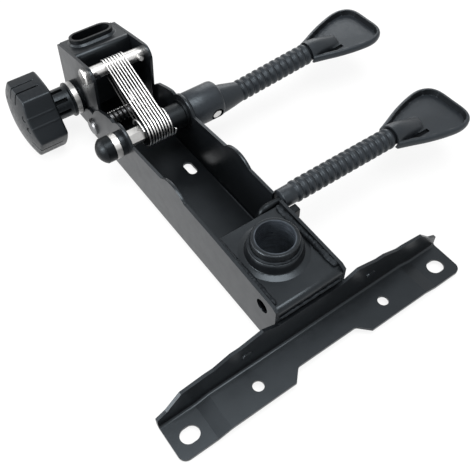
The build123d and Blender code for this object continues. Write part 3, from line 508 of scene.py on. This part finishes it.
def rib(share):
    """Height of a rib, from 0 to 1, over its share of the pitch."""
    return smoothstep(*RIB_UP, share) * (1 - smoothstep(*RIB_DOWN, share))


def grip_rings(stations):
    """Rings round a centre line that runs in Y and Z, each square to its rise."""
    rings = []
    for centre, radius, rise in stations:
        up = Vector((0, -math.sin(rise), math.cos(rise)))
        rings.append(ring_at(Vector(centre), Vector((1, 0, 0)), up, radius, GRIP_COUNT))
    return rings


def ribbed_stations(start, way, rise, length, ribs, crest, valley):
    stations = []
    pitch = length / ribs
    steps = int(round(length / GRIP_STEP))
    for k in range(steps + 1):
        along = length * k / steps
        wobble = CREST_WOBBLE * noise.noise(Vector((along * WOBBLE_PACE, crest, 3.0)))
        radius = crest - valley + (valley + wobble) * rib((along / pitch) % 1.0)
        stations.append((start + way * along, radius, rise))
    stations.append((start + way * (length + STEM_TAIL), crest - valley, rise))
    return stations


grip_way = Vector((0, math.cos(TILT_RISE), math.sin(TILT_RISE)))
grip_y = HUB_START + HUB_CLEAR + HUB_LENGTH + CONE_LENGTH
grip_start = Vector((ROD_X, grip_y, ROD_Z - CONE_DROP))
stations = [((ROD_X, y, ROD_Z), r, 0.0) for y, r in TILT_HUB]
for k in range(CONE_STEPS + 1):
    share = k / CONE_STEPS
    r = CONE_R + (CONE_END_R - CONE_R) * share ** CONE_BOW
    stations.append((Vector(CONE_START).lerp(grip_start, share), r, TILT_RISE * share))
stations += ribbed_stations(grip_start, grip_way, TILT_RISE, TILT_LENGTH, TILT_RIBS,
                            TILT_CREST, TILT_VALLEY)
tilt_grip = piece("tilt_grip", *skin(grip_rings(stations)), NYLON, None)

screw_way = Vector((math.sin(SCREW_ANGLE), 0, math.cos(SCREW_ANGLE)))
for inner, outer, radius in SCREW_CUTS:
    inner_end, outer_end = SCREW_AT + screw_way * inner, SCREW_AT + screw_way * outer
    cut(tilt_grip, *rod_shape(inner_end, outer_end, radius))
crease(tilt_grip, 50)
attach(tilt_grip, "tilt_lever")
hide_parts("tilt_lever_grip")

lift_start = Vector((LIFT_X, LIFT_FACE + LIFT_PLAIN, LIFT_Z))
stations = [((LIFT_X, y, LIFT_Z), r, 0.0) for y, r in LIFT_SLEEVE]
stations += ribbed_stations(lift_start, Vector((0, 1, 0)), 0.0, LIFT_LENGTH, LIFT_RIBS,
                            LIFT_CREST, LIFT_VALLEY)
lift_grip = piece("lift_grip", *skin(grip_rings(stations)), NYLON, "lift_lever", "lift_lever_grip")
crease(lift_grip, 50)


# Paddles: rounded rim, shallow dish, half-round boss over the stem, blind recess beside it.
# Their own Y runs from the mouth to the far end, and Z is up out of the dish.

PAD_LENGTH = 74.0
HALF = [(11.8, 0.0), (15.4, 10.0), (19.3, 20.0), (22.9, 31.0), (25.8, 42.5), (27.5, 53.0),
        (26.9, 61.5), (23.6, 68.6), (18.0, 72.6), (11.0, PAD_LENGTH), (0.0, PAD_LENGTH)]
OUTLINE_STEPS = 8
PAD_LOW, PAD_TOP, PAD_FLOOR, PAD_CROWN = -4.9, 2.1, -2.5, 0.35
RIM_ROUND, BACK_ROUND = 2.0, 2.6
WALL_START, WALL_END, CROWN_SPAN = 3.2, 4.1, (4.0, 24.0)
BOSS_R, BOSS_TAPER, BOSS_TAPER_AT, BOSS_REACH = 10.3, 2.2, 36.0, 46
BOSS_SINK, SINK_SPAN = 7.4, (4.0, 42.0)
BOSS_END, BOSS_END_DEPTH, BOSS_END_SKEW, BOSS_BLEND = (33.0, 37.5), 9.0, 0.25, 0.9
STRAIGHT_MOUTH, MOUTH_CUT = 12, (-3.0, 5.0)
ROW_STEP, FINE_ROW_STEP, FINE_ROWS_FROM = 1.05, 0.6, 66
LAST_ROWS = [72.0, 72.5, 73.0, 73.4, 73.7, 73.9, PAD_LENGTH]
HALF_COLUMNS, COLUMN_BUNCH = 34, 0.86
RECESS_LOW, RECESS_HIGH = (8.9, 17.0, -4.1), (12.6, 34.0, 6.0)
# Where the dish wall gets painted shade: past this Y, between these slopes, within this margin of
# the wall.
WALL_SHADE_FROM, WALL_SHADE_SLOPE, WALL_SHADE_MARGIN = 16, (0.05, 0.86), 0.2
TILT_STEM, LIFT_STEM, STEM_CLEAR = 8.65, 7.85, 0.9


def paddle_outline():
    """Closed outline: a smooth line through the half's points and its mirror image."""
    points = [Vector(p) for p in HALF]
    last = len(points) - 1
    right = []
    for k in range(last):
        a, b, c, d = (points[min(max(k + j, 0), last)] for j in (-1, 0, 1, 2))
        for step in range(OUTLINE_STEPS):
            t = step / OUTLINE_STEPS
            right.append(0.5 * (2 * b + (c - a) * t + (2 * a - 5 * b + 4 * c - d) * t * t
                                + (3 * b - a - 3 * c + d) * t ** 3))
    left = [Vector((-p.x, p.y)) for p in right[::-1]]
    return right + left


OUTLINE = paddle_outline()
OUTLINE_SIDES = list(zip(OUTLINE, OUTLINE[1:] + OUTLINE[:1]))


def edge_distance(x, y):
    p = Vector((x, y))
    best = math.inf
    for a, b in OUTLINE_SIDES:
        ab = b - a
        if ab.length_squared < 1e-12:
            continue
        t = min(1.0, max(0.0, (p - a).dot(ab) / ab.length_squared))
        best = min(best, (p - a - ab * t).length)
    return best


def half_width_at(y):
    best = 0.0
    for a, b in OUTLINE_SIDES:
        low, high = min(a.y, b.y), max(a.y, b.y)
        if low - 1e-9 <= y <= high + 1e-9:
            if high - low < 1e-9:
                best = max(best, a.x, b.x)
            else:
                best = max(best, a.x + (b.x - a.x) * (y - a.y) / (b.y - a.y))
    return best


def pad_top(x, y, d):
    """Upper side at a place d from the outline: rim, wall, dish floor and boss."""
    rim_share = 1 - min(d, RIM_ROUND) / RIM_ROUND
    rim = PAD_TOP - RIM_ROUND * (1 - math.sqrt(max(0.0, 1 - rim_share ** 2)))
    floor = PAD_FLOOR + PAD_CROWN * smoothstep(*CROWN_SPAN, d)
    z = rim + (floor - rim) * smoothstep(WALL_START, WALL_END, d)
    r = BOSS_R - BOSS_TAPER * min(1.0, y / BOSS_TAPER_AT)
    if y < BOSS_REACH and abs(x) < r:
        sink = BOSS_SINK * smoothstep(*SINK_SPAN, y)
        end = BOSS_END_DEPTH * smoothstep(*BOSS_END, y + BOSS_END_SKEW * x)
        z = soft_max(z, math.sqrt(r * r - x * x) - sink - end, BOSS_BLEND)
    return z


def pad_low(d):
    r = BACK_ROUND
    return PAD_LOW + (r - math.sqrt(max(0.0, r * r - (r - min(d, r)) ** 2)))


def paddle_shape(place):
    rows = []
    y = 0.0
    while y < LAST_ROWS[0]:
        rows.append(y)
        y += ROW_STEP if y < FINE_ROWS_FROM else FINE_ROW_STEP
    rows += LAST_ROWS
    columns = []
    for k in range(-HALF_COLUMNS, HALF_COLUMNS + 1):
        share = k / HALF_COLUMNS
        columns.append(math.copysign(abs(share) ** COLUMN_BUNCH, share))
    m, n = len(rows), len(columns)
    verts, faces = [], []
    for upper in (True, False):
        for y in rows:
            w = half_width_at(y)
            for c in columns:
                x = w * c
                if abs(c) == 1 or y == PAD_LENGTH:
                    d = 0.0
                elif y < STRAIGHT_MOUTH:
                    d = w - abs(x)
                else:
                    d = edge_distance(x, y)
                z = pad_top(x, y, d) if upper else pad_low(d)
                verts.append(tuple(place @ Vector((x, y, z))))
    size = m * n
    for k in range(m - 1):
        for j in range(n - 1):
            a = k * n + j
            faces.append((a, a + 1, a + n + 1, a + n))
            faces.append((size + a, size + a + n, size + a + n + 1, size + a + 1))
    for k in range(m - 1):
        for j in (0, n - 1):
            a = k * n + j
            faces.append((a, a + n, size + a + n, size + a))
    for k in (0, m - 1):
        for j in range(n - 1):
            a = k * n + j
            faces.append((a, a + 1, size + a + 1, size + a))
    return verts, faces


def block(low, high, place):
    (x0, y0, z0), (x1, y1, z1) = low, high
    v = [(x, y, z) for x in (x0, x1) for y in (y0, y1) for z in (z0, z1)]
    f = [(0, 1, 3, 2), (4, 6, 7, 5), (0, 4, 5, 1), (2, 3, 7, 6), (0, 2, 6, 4), (1, 5, 7, 3)]
    return [tuple(place @ Vector(p)) for p in v], f


def in_recess(c):
    (x0, y0, z0), (x1, y1, _) = RECESS_LOW, RECESS_HIGH
    margin = 0.1
    beside = x0 - margin < c.x < x1 + margin and y0 - margin < c.y < y1 + margin
    return beside and z0 - margin < c.z < PAD_FLOOR - margin


def on_dish_wall(c, slope):
    low, high = WALL_SHADE_SLOPE
    if c.y <= WALL_SHADE_FROM or not low < slope < high:
        return False
    return WALL_START - WALL_SHADE_MARGIN < edge_distance(c.x, c.y) < WALL_END + WALL_SHADE_MARGIN


def paddle(name, place, stem, body, node):
    o = piece(name, *paddle_shape(place), NYLON, None)
    mouth_ends = [place @ Vector((0, y, 0)) for y in MOUTH_CUT]
    cut(o, *rod_shape(*mouth_ends, stem + STEM_CLEAR, 56))
    o.data.materials.append(NYLON_HOLLOW_SHADE)
    o.data.materials.append(NYLON_WALL_SHADE)
    cut(o, *block(RECESS_LOW, RECESS_HIGH, place))
    back = place.inverted()
    turn_back = back.to_3x3()
    # Painted shade: faces in the recess take the nearly black nylon, faces of the dish wall past
    # the boss take the dark wall nylon.
    for p in o.data.polygons:
        c = back @ (p.center / MM)
        if in_recess(c):
            p.material_index = 1
        elif on_dish_wall(c, (turn_back @ p.normal).z):
            p.material_index = 2
    crease(o, 42)
    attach(o, body)
    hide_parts(node)


tilt_end = Matrix.Translation(grip_start + grip_way * TILT_LENGTH)
tilt_place = tilt_end @ Matrix.Rotation(TILT_RISE, 4, "X")
paddle("tilt_paddle", tilt_place, TILT_STEM, "tilt_lever", "tilt_lever_paddle")
lift_end = Vector((LIFT_X, LIFT_FACE + LIFT_PLAIN + LIFT_LENGTH, LIFT_Z))
lift_place = Matrix.Translation(lift_end)
paddle("lift_paddle", lift_place, LIFT_STEM, "lift_lever", "lift_lever_paddle")


# Stack on the knob's axis, outward along -Y from the left cheek's outer face

CHEEK_FACE, DISC, DISC_CLEAR, RING = 28.0, 3.2, 0.3, 4.6
FLANGE, NECK = 2.2, 18.0
HUB_FACE = -(CHEEK_FACE + DISC + DISC_CLEAR + RING)
KNOB_NEAR = HUB_FACE - FLANGE - NECK

# Knob: three lobes, each with two fine grooves that run on over the dome, and ribs in the flutes

KNOB_R, KNOB_LEN, DOME = 35.0, 31.6, 6.5
LOBE_HALF, LOBE_BOW, FLUTE_BOW = 27.0, 1.5, 0.9
LOBES, FLUTES = (87, 207, 327), (27, 147, 267)
FACE_LIMIT, FACE_BLEND, BORE_R = 80, 1.6, 9.0
KNOB_FAR = KNOB_NEAR - KNOB_LEN
DOME_R = (KNOB_R ** 2 + DOME ** 2) / (2 * DOME)
DOME_ROWS, DOME_BUNCH, DOME_INSET, SIDE_ROWS, SIDE_GAP = 30, 0.8, 1.6, 15, 1.2
EDGE_LEAD, EDGE_REACH, EDGE_STEPS = 4, 1.5, 5
CHAMFER, SIDE_REACH, FACE_REACH, CHAMFER_STEPS = 1.2, 0.54, 0.48, 3
FINE_ANGLE, COARSE_ANGLE, FINE_BAND = 0.36, 1.2, (5.4, 12.4)
GROOVE_AT, GROOVE_DEPTH, GROOVE_EDGE = 4.4, 1.2, (0.34, 0.72)
GROOVE_FROM, GROOVE_RUNOUT = (22.5, 23.3), (6.0, 7.0)
HOOK_MARK, HOOK_MARK_R, HOOK_DEPTH, HOOK_EDGE = (5.2, 23.4), 2.4, 0.75, (0.3, 0.66)
RIB_AT, RIB_HEIGHT, RIB_EDGE, RIB_RUNOUT = 4.6, 0.45, (0.2, 0.9), (2.0, 5.0)
MARK_LEAST_COS, GROOVE_SHADE_DEPTH = 0.9, 0.34


def turned(t, degrees):
    """Angle t measured from degrees, between minus and plus half a turn, in radians."""
    return (t - math.radians(degrees) + math.pi) % FULL_TURN - math.pi


def degrees_between(a, b):
    return abs((a - b + 180) % 360 - 180)


def face_reach(phi, half, bow):
    """Radius on a bowed face whose two corners lie half degrees each side of its middle."""
    flat, side = KNOB_R * math.cos(math.radians(half)), KNOB_R * math.sin(math.radians(half))
    if abs(math.degrees(phi)) > FACE_LIMIT:
        return math.inf
    w = flat * math.tan(phi) / side
    return flat / math.cos(phi) + bow * (1 - w * w) * math.cos(phi)


def knob_radius(t):
    lobe = min(face_reach(turned(t, a), LOBE_HALF, LOBE_BOW) for a in LOBES)
    flute = min(face_reach(turned(t, a), 60 - LOBE_HALF, -FLUTE_BOW) for a in FLUTES)
    return soft_min(lobe, flute, FACE_BLEND)


def dome_y(rho):
    return KNOB_FAR + DOME_R - math.sqrt(max(0.0, DOME_R ** 2 - rho ** 2))


def knob_profile(r):
    """Places (along Y, radius) from the middle of the dome to the bore."""
    rows = []
    for k in range(1, DOME_ROWS + 1):
        rho = (r - DOME_INSET) * (k / DOME_ROWS) ** DOME_BUNCH
        rows.append((dome_y(rho), rho))
    edge = (dome_y(r), r)
    low, face = (KNOB_NEAR - CHAMFER, r), (KNOB_NEAR, r - CHAMFER)
    lead = (dome_y(r - EDGE_LEAD), r - EDGE_LEAD)
    rows += bend(lead, edge, low, EDGE_REACH, EDGE_STEPS)[1:]
    start, end = edge[0] + EDGE_REACH, low[0] - SIDE_GAP
    rows += [(start + (end - start) * k / SIDE_ROWS, r) for k in range(1, SIDE_ROWS)]
    rows += bend(edge, low, face, SIDE_REACH, CHAMFER_STEPS)
    rows += bend(low, face, (KNOB_NEAR, 0), FACE_REACH, CHAMFER_STEPS)
    rows += [(KNOB_NEAR, (r - CHAMFER) * 0.75), (KNOB_NEAR, BORE_R)]
    return rows


def knob_angles():
    """Angles round the knob, closer together where the grooves are."""
    angles = []
    t = 0.0
    while t < 360.0 - 0.2:
        angles.append(math.radians(t))
        gap = min(degrees_between(t, lobe) for lobe in LOBES)
        t += FINE_ANGLE if FINE_BAND[0] < gap < FINE_BAND[1] else COARSE_ANGLE
    return angles


def lobe_mark(u, v, y, on_dome):
    """Depth of the two grooves of a lobe: u across it, v out from the axis."""
    depth = GROOVE_DEPTH * (1 - smoothstep(*GROOVE_EDGE, abs(abs(u) - GROOVE_AT)))
    depth *= smoothstep(*GROOVE_RUNOUT, KNOB_NEAR - y)
    return depth * smoothstep(*GROOVE_FROM, v) if on_dome else depth


def flute_mark(u, v, y, on_dome):
    """Depth of the hooked lines on the dome, or minus the height of the ribs in a flute."""
    if on_dome:
        away = abs(math.hypot(abs(u) - HOOK_MARK[0], v - HOOK_MARK[1]) - HOOK_MARK_R)
        return HOOK_DEPTH * (1 - smoothstep(*HOOK_EDGE, away)) if v < HOOK_MARK[1] else 0.0
    height = RIB_HEIGHT * (1 - smoothstep(*RIB_EDGE, abs(abs(u) - RIB_AT)))
    return -height * smoothstep(*RIB_RUNOUT, KNOB_NEAR - y)


def mark_depth(t, rho, y, on_dome):
    """Depth of the nearest lobe's mark at a place, or of a flute's where it has none."""
    depth = 0.0
    for middles, mark in ((LOBES, lobe_mark), (FLUTES, flute_mark)):
        nearest = min(middles, key=lambda a: degrees_between(math.degrees(t), a))
        off = t - math.radians(nearest)
        if math.cos(off) > MARK_LEAST_COS and abs(depth) < 1e-6:
            depth = mark(rho * math.sin(off), rho * math.cos(off), y, on_dome)
    return depth


def knob_shape():
    """Knob's skin, and the depth of the marks at each of its points."""
    angles = knob_angles()
    columns = [knob_profile(knob_radius(t)) for t in angles]
    last = len(columns[0]) - 1
    rings, depths = [], []
    for row in range(last + 1):
        ring = []
        for t, column in zip(angles, columns):
            y, rho = column[row]
            below, above = column[max(row - 1, 0)], column[min(row + 1, last)]
            way = Vector((above[0] - below[0], above[1] - below[1]))
            out = Vector((-way.y, way.x)).normalized() if way.length > 1e-9 else Vector((-1, 0))
            depth = mark_depth(t, rho, y, on_dome=row < DOME_ROWS + 2)
            y -= out.x * depth
            rho -= out.y * depth
            depths.append(depth)
            ring.append((KNOB_X + rho * math.cos(t), y, KNOB_Z + rho * math.sin(t)))
        rings.append(ring)
    return skin(rings), depths


shape, depths = knob_shape()
knob = piece("hand_knob", *shape, NYLON_KNOB, "knob", "knob_body")
knob.data.materials.append(NYLON_HOLLOW_SHADE)
depths += [0.0] * (len(knob.data.vertices) - len(depths))
# Faces whose points sink past a set depth, in the grooves and hooked marks, get painted shade in
# the nearly black nylon.
for p in knob.data.polygons:
    if sum(depths[v] for v in p.vertices) / len(p.vertices) > GROOVE_SHADE_DEPTH:
        p.material_index = 1
crease(knob, 55)


# Lumpy weld beads

BEAD_COUNT, BEAD_END, BEAD_TIP, BEAD_FLAT = 16, 3.0, 0.55, 0.8
BEAD_BODY, SCALE_SHARE, LUMP_SHARE, LUMP_PACE = 0.95, 0.07, 0.34, 0.35
BEAD_STEP, RIPPLE, SOCKET_RIPPLE = 0.6, 0.55, 0.9
SIDE_BEAD_Y, SIDE_BEAD_Z = 26.7, 48.3
Y_WANDER, Y_PACE, Z_WANDER, Z_PACE, LIP_WANDER, LIP_PACE = 0.25, 0.13, 0.2, 0.11, 0.5, 0.1
SIDE_STITCHES = [(-31.0, -8.0), (-9.5, 11.0), (9.5, 35.5)]
LIP_X, LIP_START, LIP_LENGTH, LIP_Z, LIP_STEPS = 42.0, -27.0, 53.0, 39.5, 90
SOCKET_BEAD_R, SOCKET_BEAD_Z, SOCKET_STEPS = 18.1, 57.5, 96


def bead(points, radius, ripple, seed):
    """Weld bead along points: uneven width, overlapping scales, tapered ends."""
    rings = []
    last = len(points) - 1
    for k, p in enumerate(points):
        p = Vector(p)
        way = (Vector(points[min(k + 1, last)]) - Vector(points[max(k - 1, 0)])).normalized()
        side = Vector((0, 0, 1)).cross(way).normalized()
        up = way.cross(side)
        end_share = min(1.0, k / BEAD_END, (last - k) / BEAD_END)
        swell = BEAD_TIP + (1 - BEAD_TIP) * math.sqrt(max(0.0, end_share))
        scale = abs(math.sin(k * ripple))
        ring = []
        for j in range(BEAD_COUNT):
            t = FULL_TURN * j / BEAD_COUNT
            lump = noise.noise(p * LUMP_PACE + Vector((seed, math.cos(t), math.sin(t))))
            r = radius * swell * (BEAD_BODY + SCALE_SHARE * scale + LUMP_SHARE * lump)
            ring.append(tuple(p + side * (r * math.cos(t)) + up * (r * BEAD_FLAT * math.sin(t))))
        rings.append(ring)
    return skin(rings)


def straight_bead(x0, x1, y, z, seed):
    """Line along X that wanders a little in Y and Z."""
    steps = max(10, int((x1 - x0) / BEAD_STEP))
    return [(x0 + (x1 - x0) * k / steps,
             y + Y_WANDER * noise.noise(Vector((k * Y_PACE, seed, 0))),
             z + Z_WANDER * noise.noise(Vector((k * Z_PACE, seed, 5.0))))
            for k in range(steps + 1)]


def joined(shapes):
    verts, faces = [], []
    for v, f in shapes:
        base = len(verts)
        verts += v
        faces += [tuple(i + base for i in face) for face in f]
    return verts, faces


def plate_bead(name, side, radius, node):
    shapes = []
    for number, (x0, x1) in enumerate(SIDE_STITCHES):
        line = straight_bead(x0, x1, side * SIDE_BEAD_Y, SIDE_BEAD_Z, number + 3 * side)
        shapes.append(bead(line, radius, RIPPLE, number * 7.0 + side))
    piece(name, *joined(shapes), WELD, "base", node)


plate_bead("bead_left", -1, 1.9, "plate_weld_left")
plate_bead("bead_right", 1, 2.5, "plate_weld_right")
lip_line = []
for k in range(LIP_STEPS + 1):
    z = LIP_Z + LIP_WANDER * noise.noise(Vector((k * LIP_PACE, 9.0, 0)))
    lip_line.append((LIP_X, LIP_START + LIP_LENGTH * k / LIP_STEPS, z))
piece("bead_lip", *bead(lip_line, 1.1, RIPPLE, 21.0), WELD, "base")
ring_line = []
for k in range(SOCKET_STEPS + 1):
    t = FULL_TURN * k / SOCKET_STEPS
    ring_line.append((SOCKET_BEAD_R * math.cos(t), SOCKET_BEAD_R * math.sin(t), SOCKET_BEAD_Z))
piece("bead_socket", *bead(ring_line, 1.15, SOCKET_RIPPLE, 11.0), WELD, "base", "socket_weld")


# Tongue of the channel's floor under the pivot, which closes the view to the ground

TONGUE_REAR, TONGUE_FRONT, TONGUE_HALF = -237.0, -199.0, 23.5
TONGUE_THICK, TONGUE_SOFT, TONGUE_CORNER, TONGUE_STEPS = 2.5, 0.4, 7, 10


def flat_sheet(outline, low, high, soft):
    """Sheet between two heights, with its edges chamfered by soft."""
    middle = Vector((0, 0))
    for p in outline:
        middle += p
    middle /= len(outline)
    rings = []
    for z, inset in ((low, soft), (low + soft, 0.0), (high - soft, 0.0), (high, soft)):
        rings.append([tuple(p + (middle - p).normalized() * inset) + (z,) for p in outline])
    return skin(rings)


rear_left, front_left = (TONGUE_REAR, -TONGUE_HALF), (TONGUE_FRONT, -TONGUE_HALF)
rear_right, front_right = (TONGUE_REAR, TONGUE_HALF), (TONGUE_FRONT, TONGUE_HALF)
outline = bend(rear_right, rear_left, front_left, TONGUE_CORNER, TONGUE_STEPS)
outline += [front_left, front_right]
outline += bend(front_right, rear_right, rear_left, TONGUE_CORNER, TONGUE_STEPS)
tongue_shape = flat_sheet([Vector(p) for p in outline], 0.0, TONGUE_THICK, TONGUE_SOFT)
# The tongue takes the darker inner paint, the copy of the black paint that paints shade on inner
# parts.
tongue = piece("floor_tongue", *tongue_shape, PAINT_INNER_SHADE, "base")
crease(tongue, 40)


# Knob hub with a thin flange and deep slots in its neck

FLANGE_R, NECK_R, HUB_BORE_R, HUB_EDGE, HUB_COUNT = 15.6, 13.5, 6.0, 0.4, 240
SLOTS, SLOT_DEPTH, SLOT_EDGE, SLOT_START = 8, 2.6, (0.13, 0.17), (5.6, 6.2)
NECK_START, NECK_LENGTH, NECK_ROWS, NECK_SINK = 2.8, 17.2, 24, 0.3
SLOT_SHADE_Y, SLOT_SHADE_R = (-56.5, -41.5), 12.2


def hub_shape():
    rows = [(0.0, HUB_BORE_R), (0.0, FLANGE_R - HUB_EDGE), (HUB_EDGE, FLANGE_R),
            (FLANGE - HUB_EDGE, FLANGE_R), (FLANGE, FLANGE_R - HUB_EDGE),
            (FLANGE + 0.1, NECK_R + HUB_EDGE), (NECK_START, NECK_R)]
    rows += [(NECK_START + NECK_LENGTH * k / NECK_ROWS, NECK_R) for k in range(1, NECK_ROWS + 1)]
    rows += [(HUB_FACE - KNOB_NEAR + NECK_SINK, HUB_BORE_R)]
    rings = []
    for out, r in rows:
        ring = []
        for k in range(HUB_COUNT):
            t = FULL_TURN * k / HUB_COUNT
            off = abs((SLOTS * k / HUB_COUNT + 0.5) % 1.0 - 0.5)
            gap = (1 - smoothstep(*SLOT_EDGE, off)) * smoothstep(*SLOT_START, out)
            reach = r - (SLOT_DEPTH * gap if r > HUB_BORE_R else 0.0)
            ring.append((KNOB_X + reach * math.cos(t), HUB_FACE - out,
                         KNOB_Z + reach * math.sin(t)))
        rings.append(ring)
    return skin(rings)


hub_piece = piece("knob_neck", *hub_shape(), NYLON_KNOB, "knob", "knob_hub")
hub_piece.data.materials.append(NYLON_HOLLOW_SHADE)
# Faces in the neck's slots get painted shade in the nearly black nylon.
for p in hub_piece.data.polygons:
    c = p.center / MM
    off_axis = math.hypot(c.x - KNOB_X, c.z - KNOB_Z)
    if SLOT_SHADE_Y[0] < c.y < SLOT_SHADE_Y[1] and off_axis < SLOT_SHADE_R:
        p.material_index = 1
crease(hub_piece, 40)


# Soft edges on pressed sheet metal

WELD_REACH, EDGE_SEGMENTS, EDGE_ANGLE = 0.00001, 2, math.radians(32.0)
SHEET_EDGE, LUG_EDGE = 0.00045, 0.0004


def soft_edge(name, width):
    o = nodes[name]
    weld = o.modifiers.new("weld", "WELD")
    weld.merge_threshold = WELD_REACH
    edge = o.modifiers.new("bevel", "BEVEL")
    edge.width = width
    edge.segments = EDGE_SEGMENTS
    edge.limit_method = "ANGLE"
    edge.angle_limit = EDGE_ANGLE
    edge.harden_normals = True


for name in ("spine_channel", "front_rail", "socket_plate", "cheek_left", "cheek_right",
             "carrier_plate"):
    soft_edge(name, SHEET_EDGE)
soft_edge("lever_lug", LUG_EDGE)


# Stage: a pale floor that is white to the camera and keeps the shadow, and a white world

FLOOR_HALF, FLOOR_PARTS, FLOOR_DROP = 3.0, 8, 0.0003
FLOOR_TONE, FLOOR_ROUGH, FLOOR_GLOSS, FLOOR_WHITE_SHARE = 0.9, 0.9, 0.1, 0.86
WORLD_LIGHT = 0.4


def math_node(tree, operation, first, second):
    """Output of a maths node that takes a socket and a second socket or a number."""
    node = tree.nodes.new("ShaderNodeMath")
    node.operation = operation
    tree.links.new(first, node.inputs[0])
    if isinstance(second, float):
        node.inputs[1].default_value = second
    else:
        tree.links.new(second, node.inputs[1])
    return node.outputs[0]


def seen(tree, path):
    """1 for rays from the camera and for those that a glossy surface reflects, else 0."""
    return math_node(tree, "MAXIMUM", path.outputs["Is Camera Ray"], path.outputs["Is Glossy Ray"])


def stage_floor():
    mesh = bpy.data.meshes.new("floor")
    bm = bmesh.new()
    bmesh.ops.create_grid(bm, x_segments=FLOOR_PARTS, y_segments=FLOOR_PARTS, size=FLOOR_HALF)
    bm.to_mesh(mesh)
    bm.free()
    o = bpy.data.objects.new("floor", mesh)
    bpy.context.scene.collection.objects.link(o)
    o.location.z = cad_box[0][2] - FLOOR_DROP
    mat, tree, bsdf = new_material("floor_white")
    bsdf.inputs["Base Color"].default_value = (FLOOR_TONE, FLOOR_TONE, FLOOR_TONE, 1)
    bsdf.inputs["Roughness"].default_value = FLOOR_ROUGH
    bsdf.inputs["Specular IOR Level"].default_value = FLOOR_GLOSS
    emit = tree.nodes.new("ShaderNodeEmission")
    emit.inputs["Strength"].default_value = 1.0
    mix = tree.nodes.new("ShaderNodeMixShader")
    path = tree.nodes.new("ShaderNodeLightPath")
    share = math_node(tree, "MULTIPLY", seen(tree, path), FLOOR_WHITE_SHARE)
    tree.links.new(share, mix.inputs["Fac"])
    tree.links.new(bsdf.outputs["BSDF"], mix.inputs[1])
    tree.links.new(emit.outputs["Emission"], mix.inputs[2])
    tree.links.new(mix.outputs["Shader"], tree.nodes["Material Output"].inputs["Surface"])
    mesh.materials.append(mat)


def white_world():
    """White where it is seen, and a soft fill light everywhere else."""
    world = bpy.data.worlds.new("studio")
    bpy.context.scene.world = world
    world.use_nodes = True
    tree = world.node_tree
    background = tree.nodes["Background"]
    background.inputs["Color"].default_value = (1, 1, 1, 1)
    path = tree.nodes.new("ShaderNodeLightPath")
    through = path.outputs["Is Transmission Ray"]
    strength = tree.nodes.new("ShaderNodeMapRange")
    strength.inputs["To Min"].default_value = WORLD_LIGHT
    strength.inputs["To Max"].default_value = 1.0
    white = math_node(tree, "MAXIMUM", seen(tree, path), through)
    tree.links.new(white, strength.inputs["Value"])
    tree.links.new(strength.outputs["Result"], background.inputs["Strength"])


stage_floor()
white_world()


# Light

MIDDLE, HEAD = (-0.08, 0.05, 0.03), (-0.24, -0.03, 0.04)


def area(name, at, to, size, power):
    light = bpy.data.lights.new(name, "AREA")
    light.shape = "SQUARE"
    light.size = size
    light.energy = power
    o = bpy.data.objects.new(name, light)
    bpy.context.scene.collection.objects.link(o)
    o.location = at
    o.rotation_euler = (Vector(to) - Vector(at)).to_track_quat("-Z", "Y").to_euler()


area("key", (-0.15, -1.35, 0.5), MIDDLE, size=0.7, power=26.0)
area("over", (0.15, 0.0, 1.35), MIDDLE, size=0.8, power=19.0)
area("left", (-0.9, -0.9, 0.35), HEAD, size=0.5, power=4.0)
area("far", (-1.2, 0.9, 0.7), MIDDLE, size=0.8, power=6.0)


# Camera, fitted to the photograph: where it stands, how it is turned, its lens and shift

CAMERA_AT = (0.2059, -0.1776, 0.4181)
CAMERA_YAW, CAMERA_PITCH, CAMERA_ROLL = (math.radians(a) for a in (54.7, 52.5, -0.6))
LENS, SENSOR, SHIFT_X, SHIFT_Y, CLIP_START = 49.91, 36.0, -0.0049, 0.0019, 0.01

back = Vector((math.sin(CAMERA_YAW) * math.cos(CAMERA_PITCH),
               -math.cos(CAMERA_YAW) * math.cos(CAMERA_PITCH), math.sin(CAMERA_PITCH)))
level = Vector((math.cos(CAMERA_YAW), math.sin(CAMERA_YAW), 0))
upright = back.cross(level)
right = level * math.cos(CAMERA_ROLL) + upright * math.sin(CAMERA_ROLL)
up = upright * math.cos(CAMERA_ROLL) - level * math.sin(CAMERA_ROLL)
cam_data = bpy.data.cameras.new("camera")
cam = bpy.data.objects.new("camera", cam_data)
bpy.context.scene.collection.objects.link(cam)
place = Matrix((right, up, back)).transposed().to_4x4()
place.translation = Vector(CAMERA_AT)
cam.matrix_world = place
cam_data.sensor_width = SENSOR
cam_data.lens = LENS
cam_data.shift_x = SHIFT_X
cam_data.shift_y = SHIFT_Y
cam_data.clip_start = CLIP_START
bpy.context.scene.camera = cam
bpy.context.scene.view_settings.view_transform = "Standard"
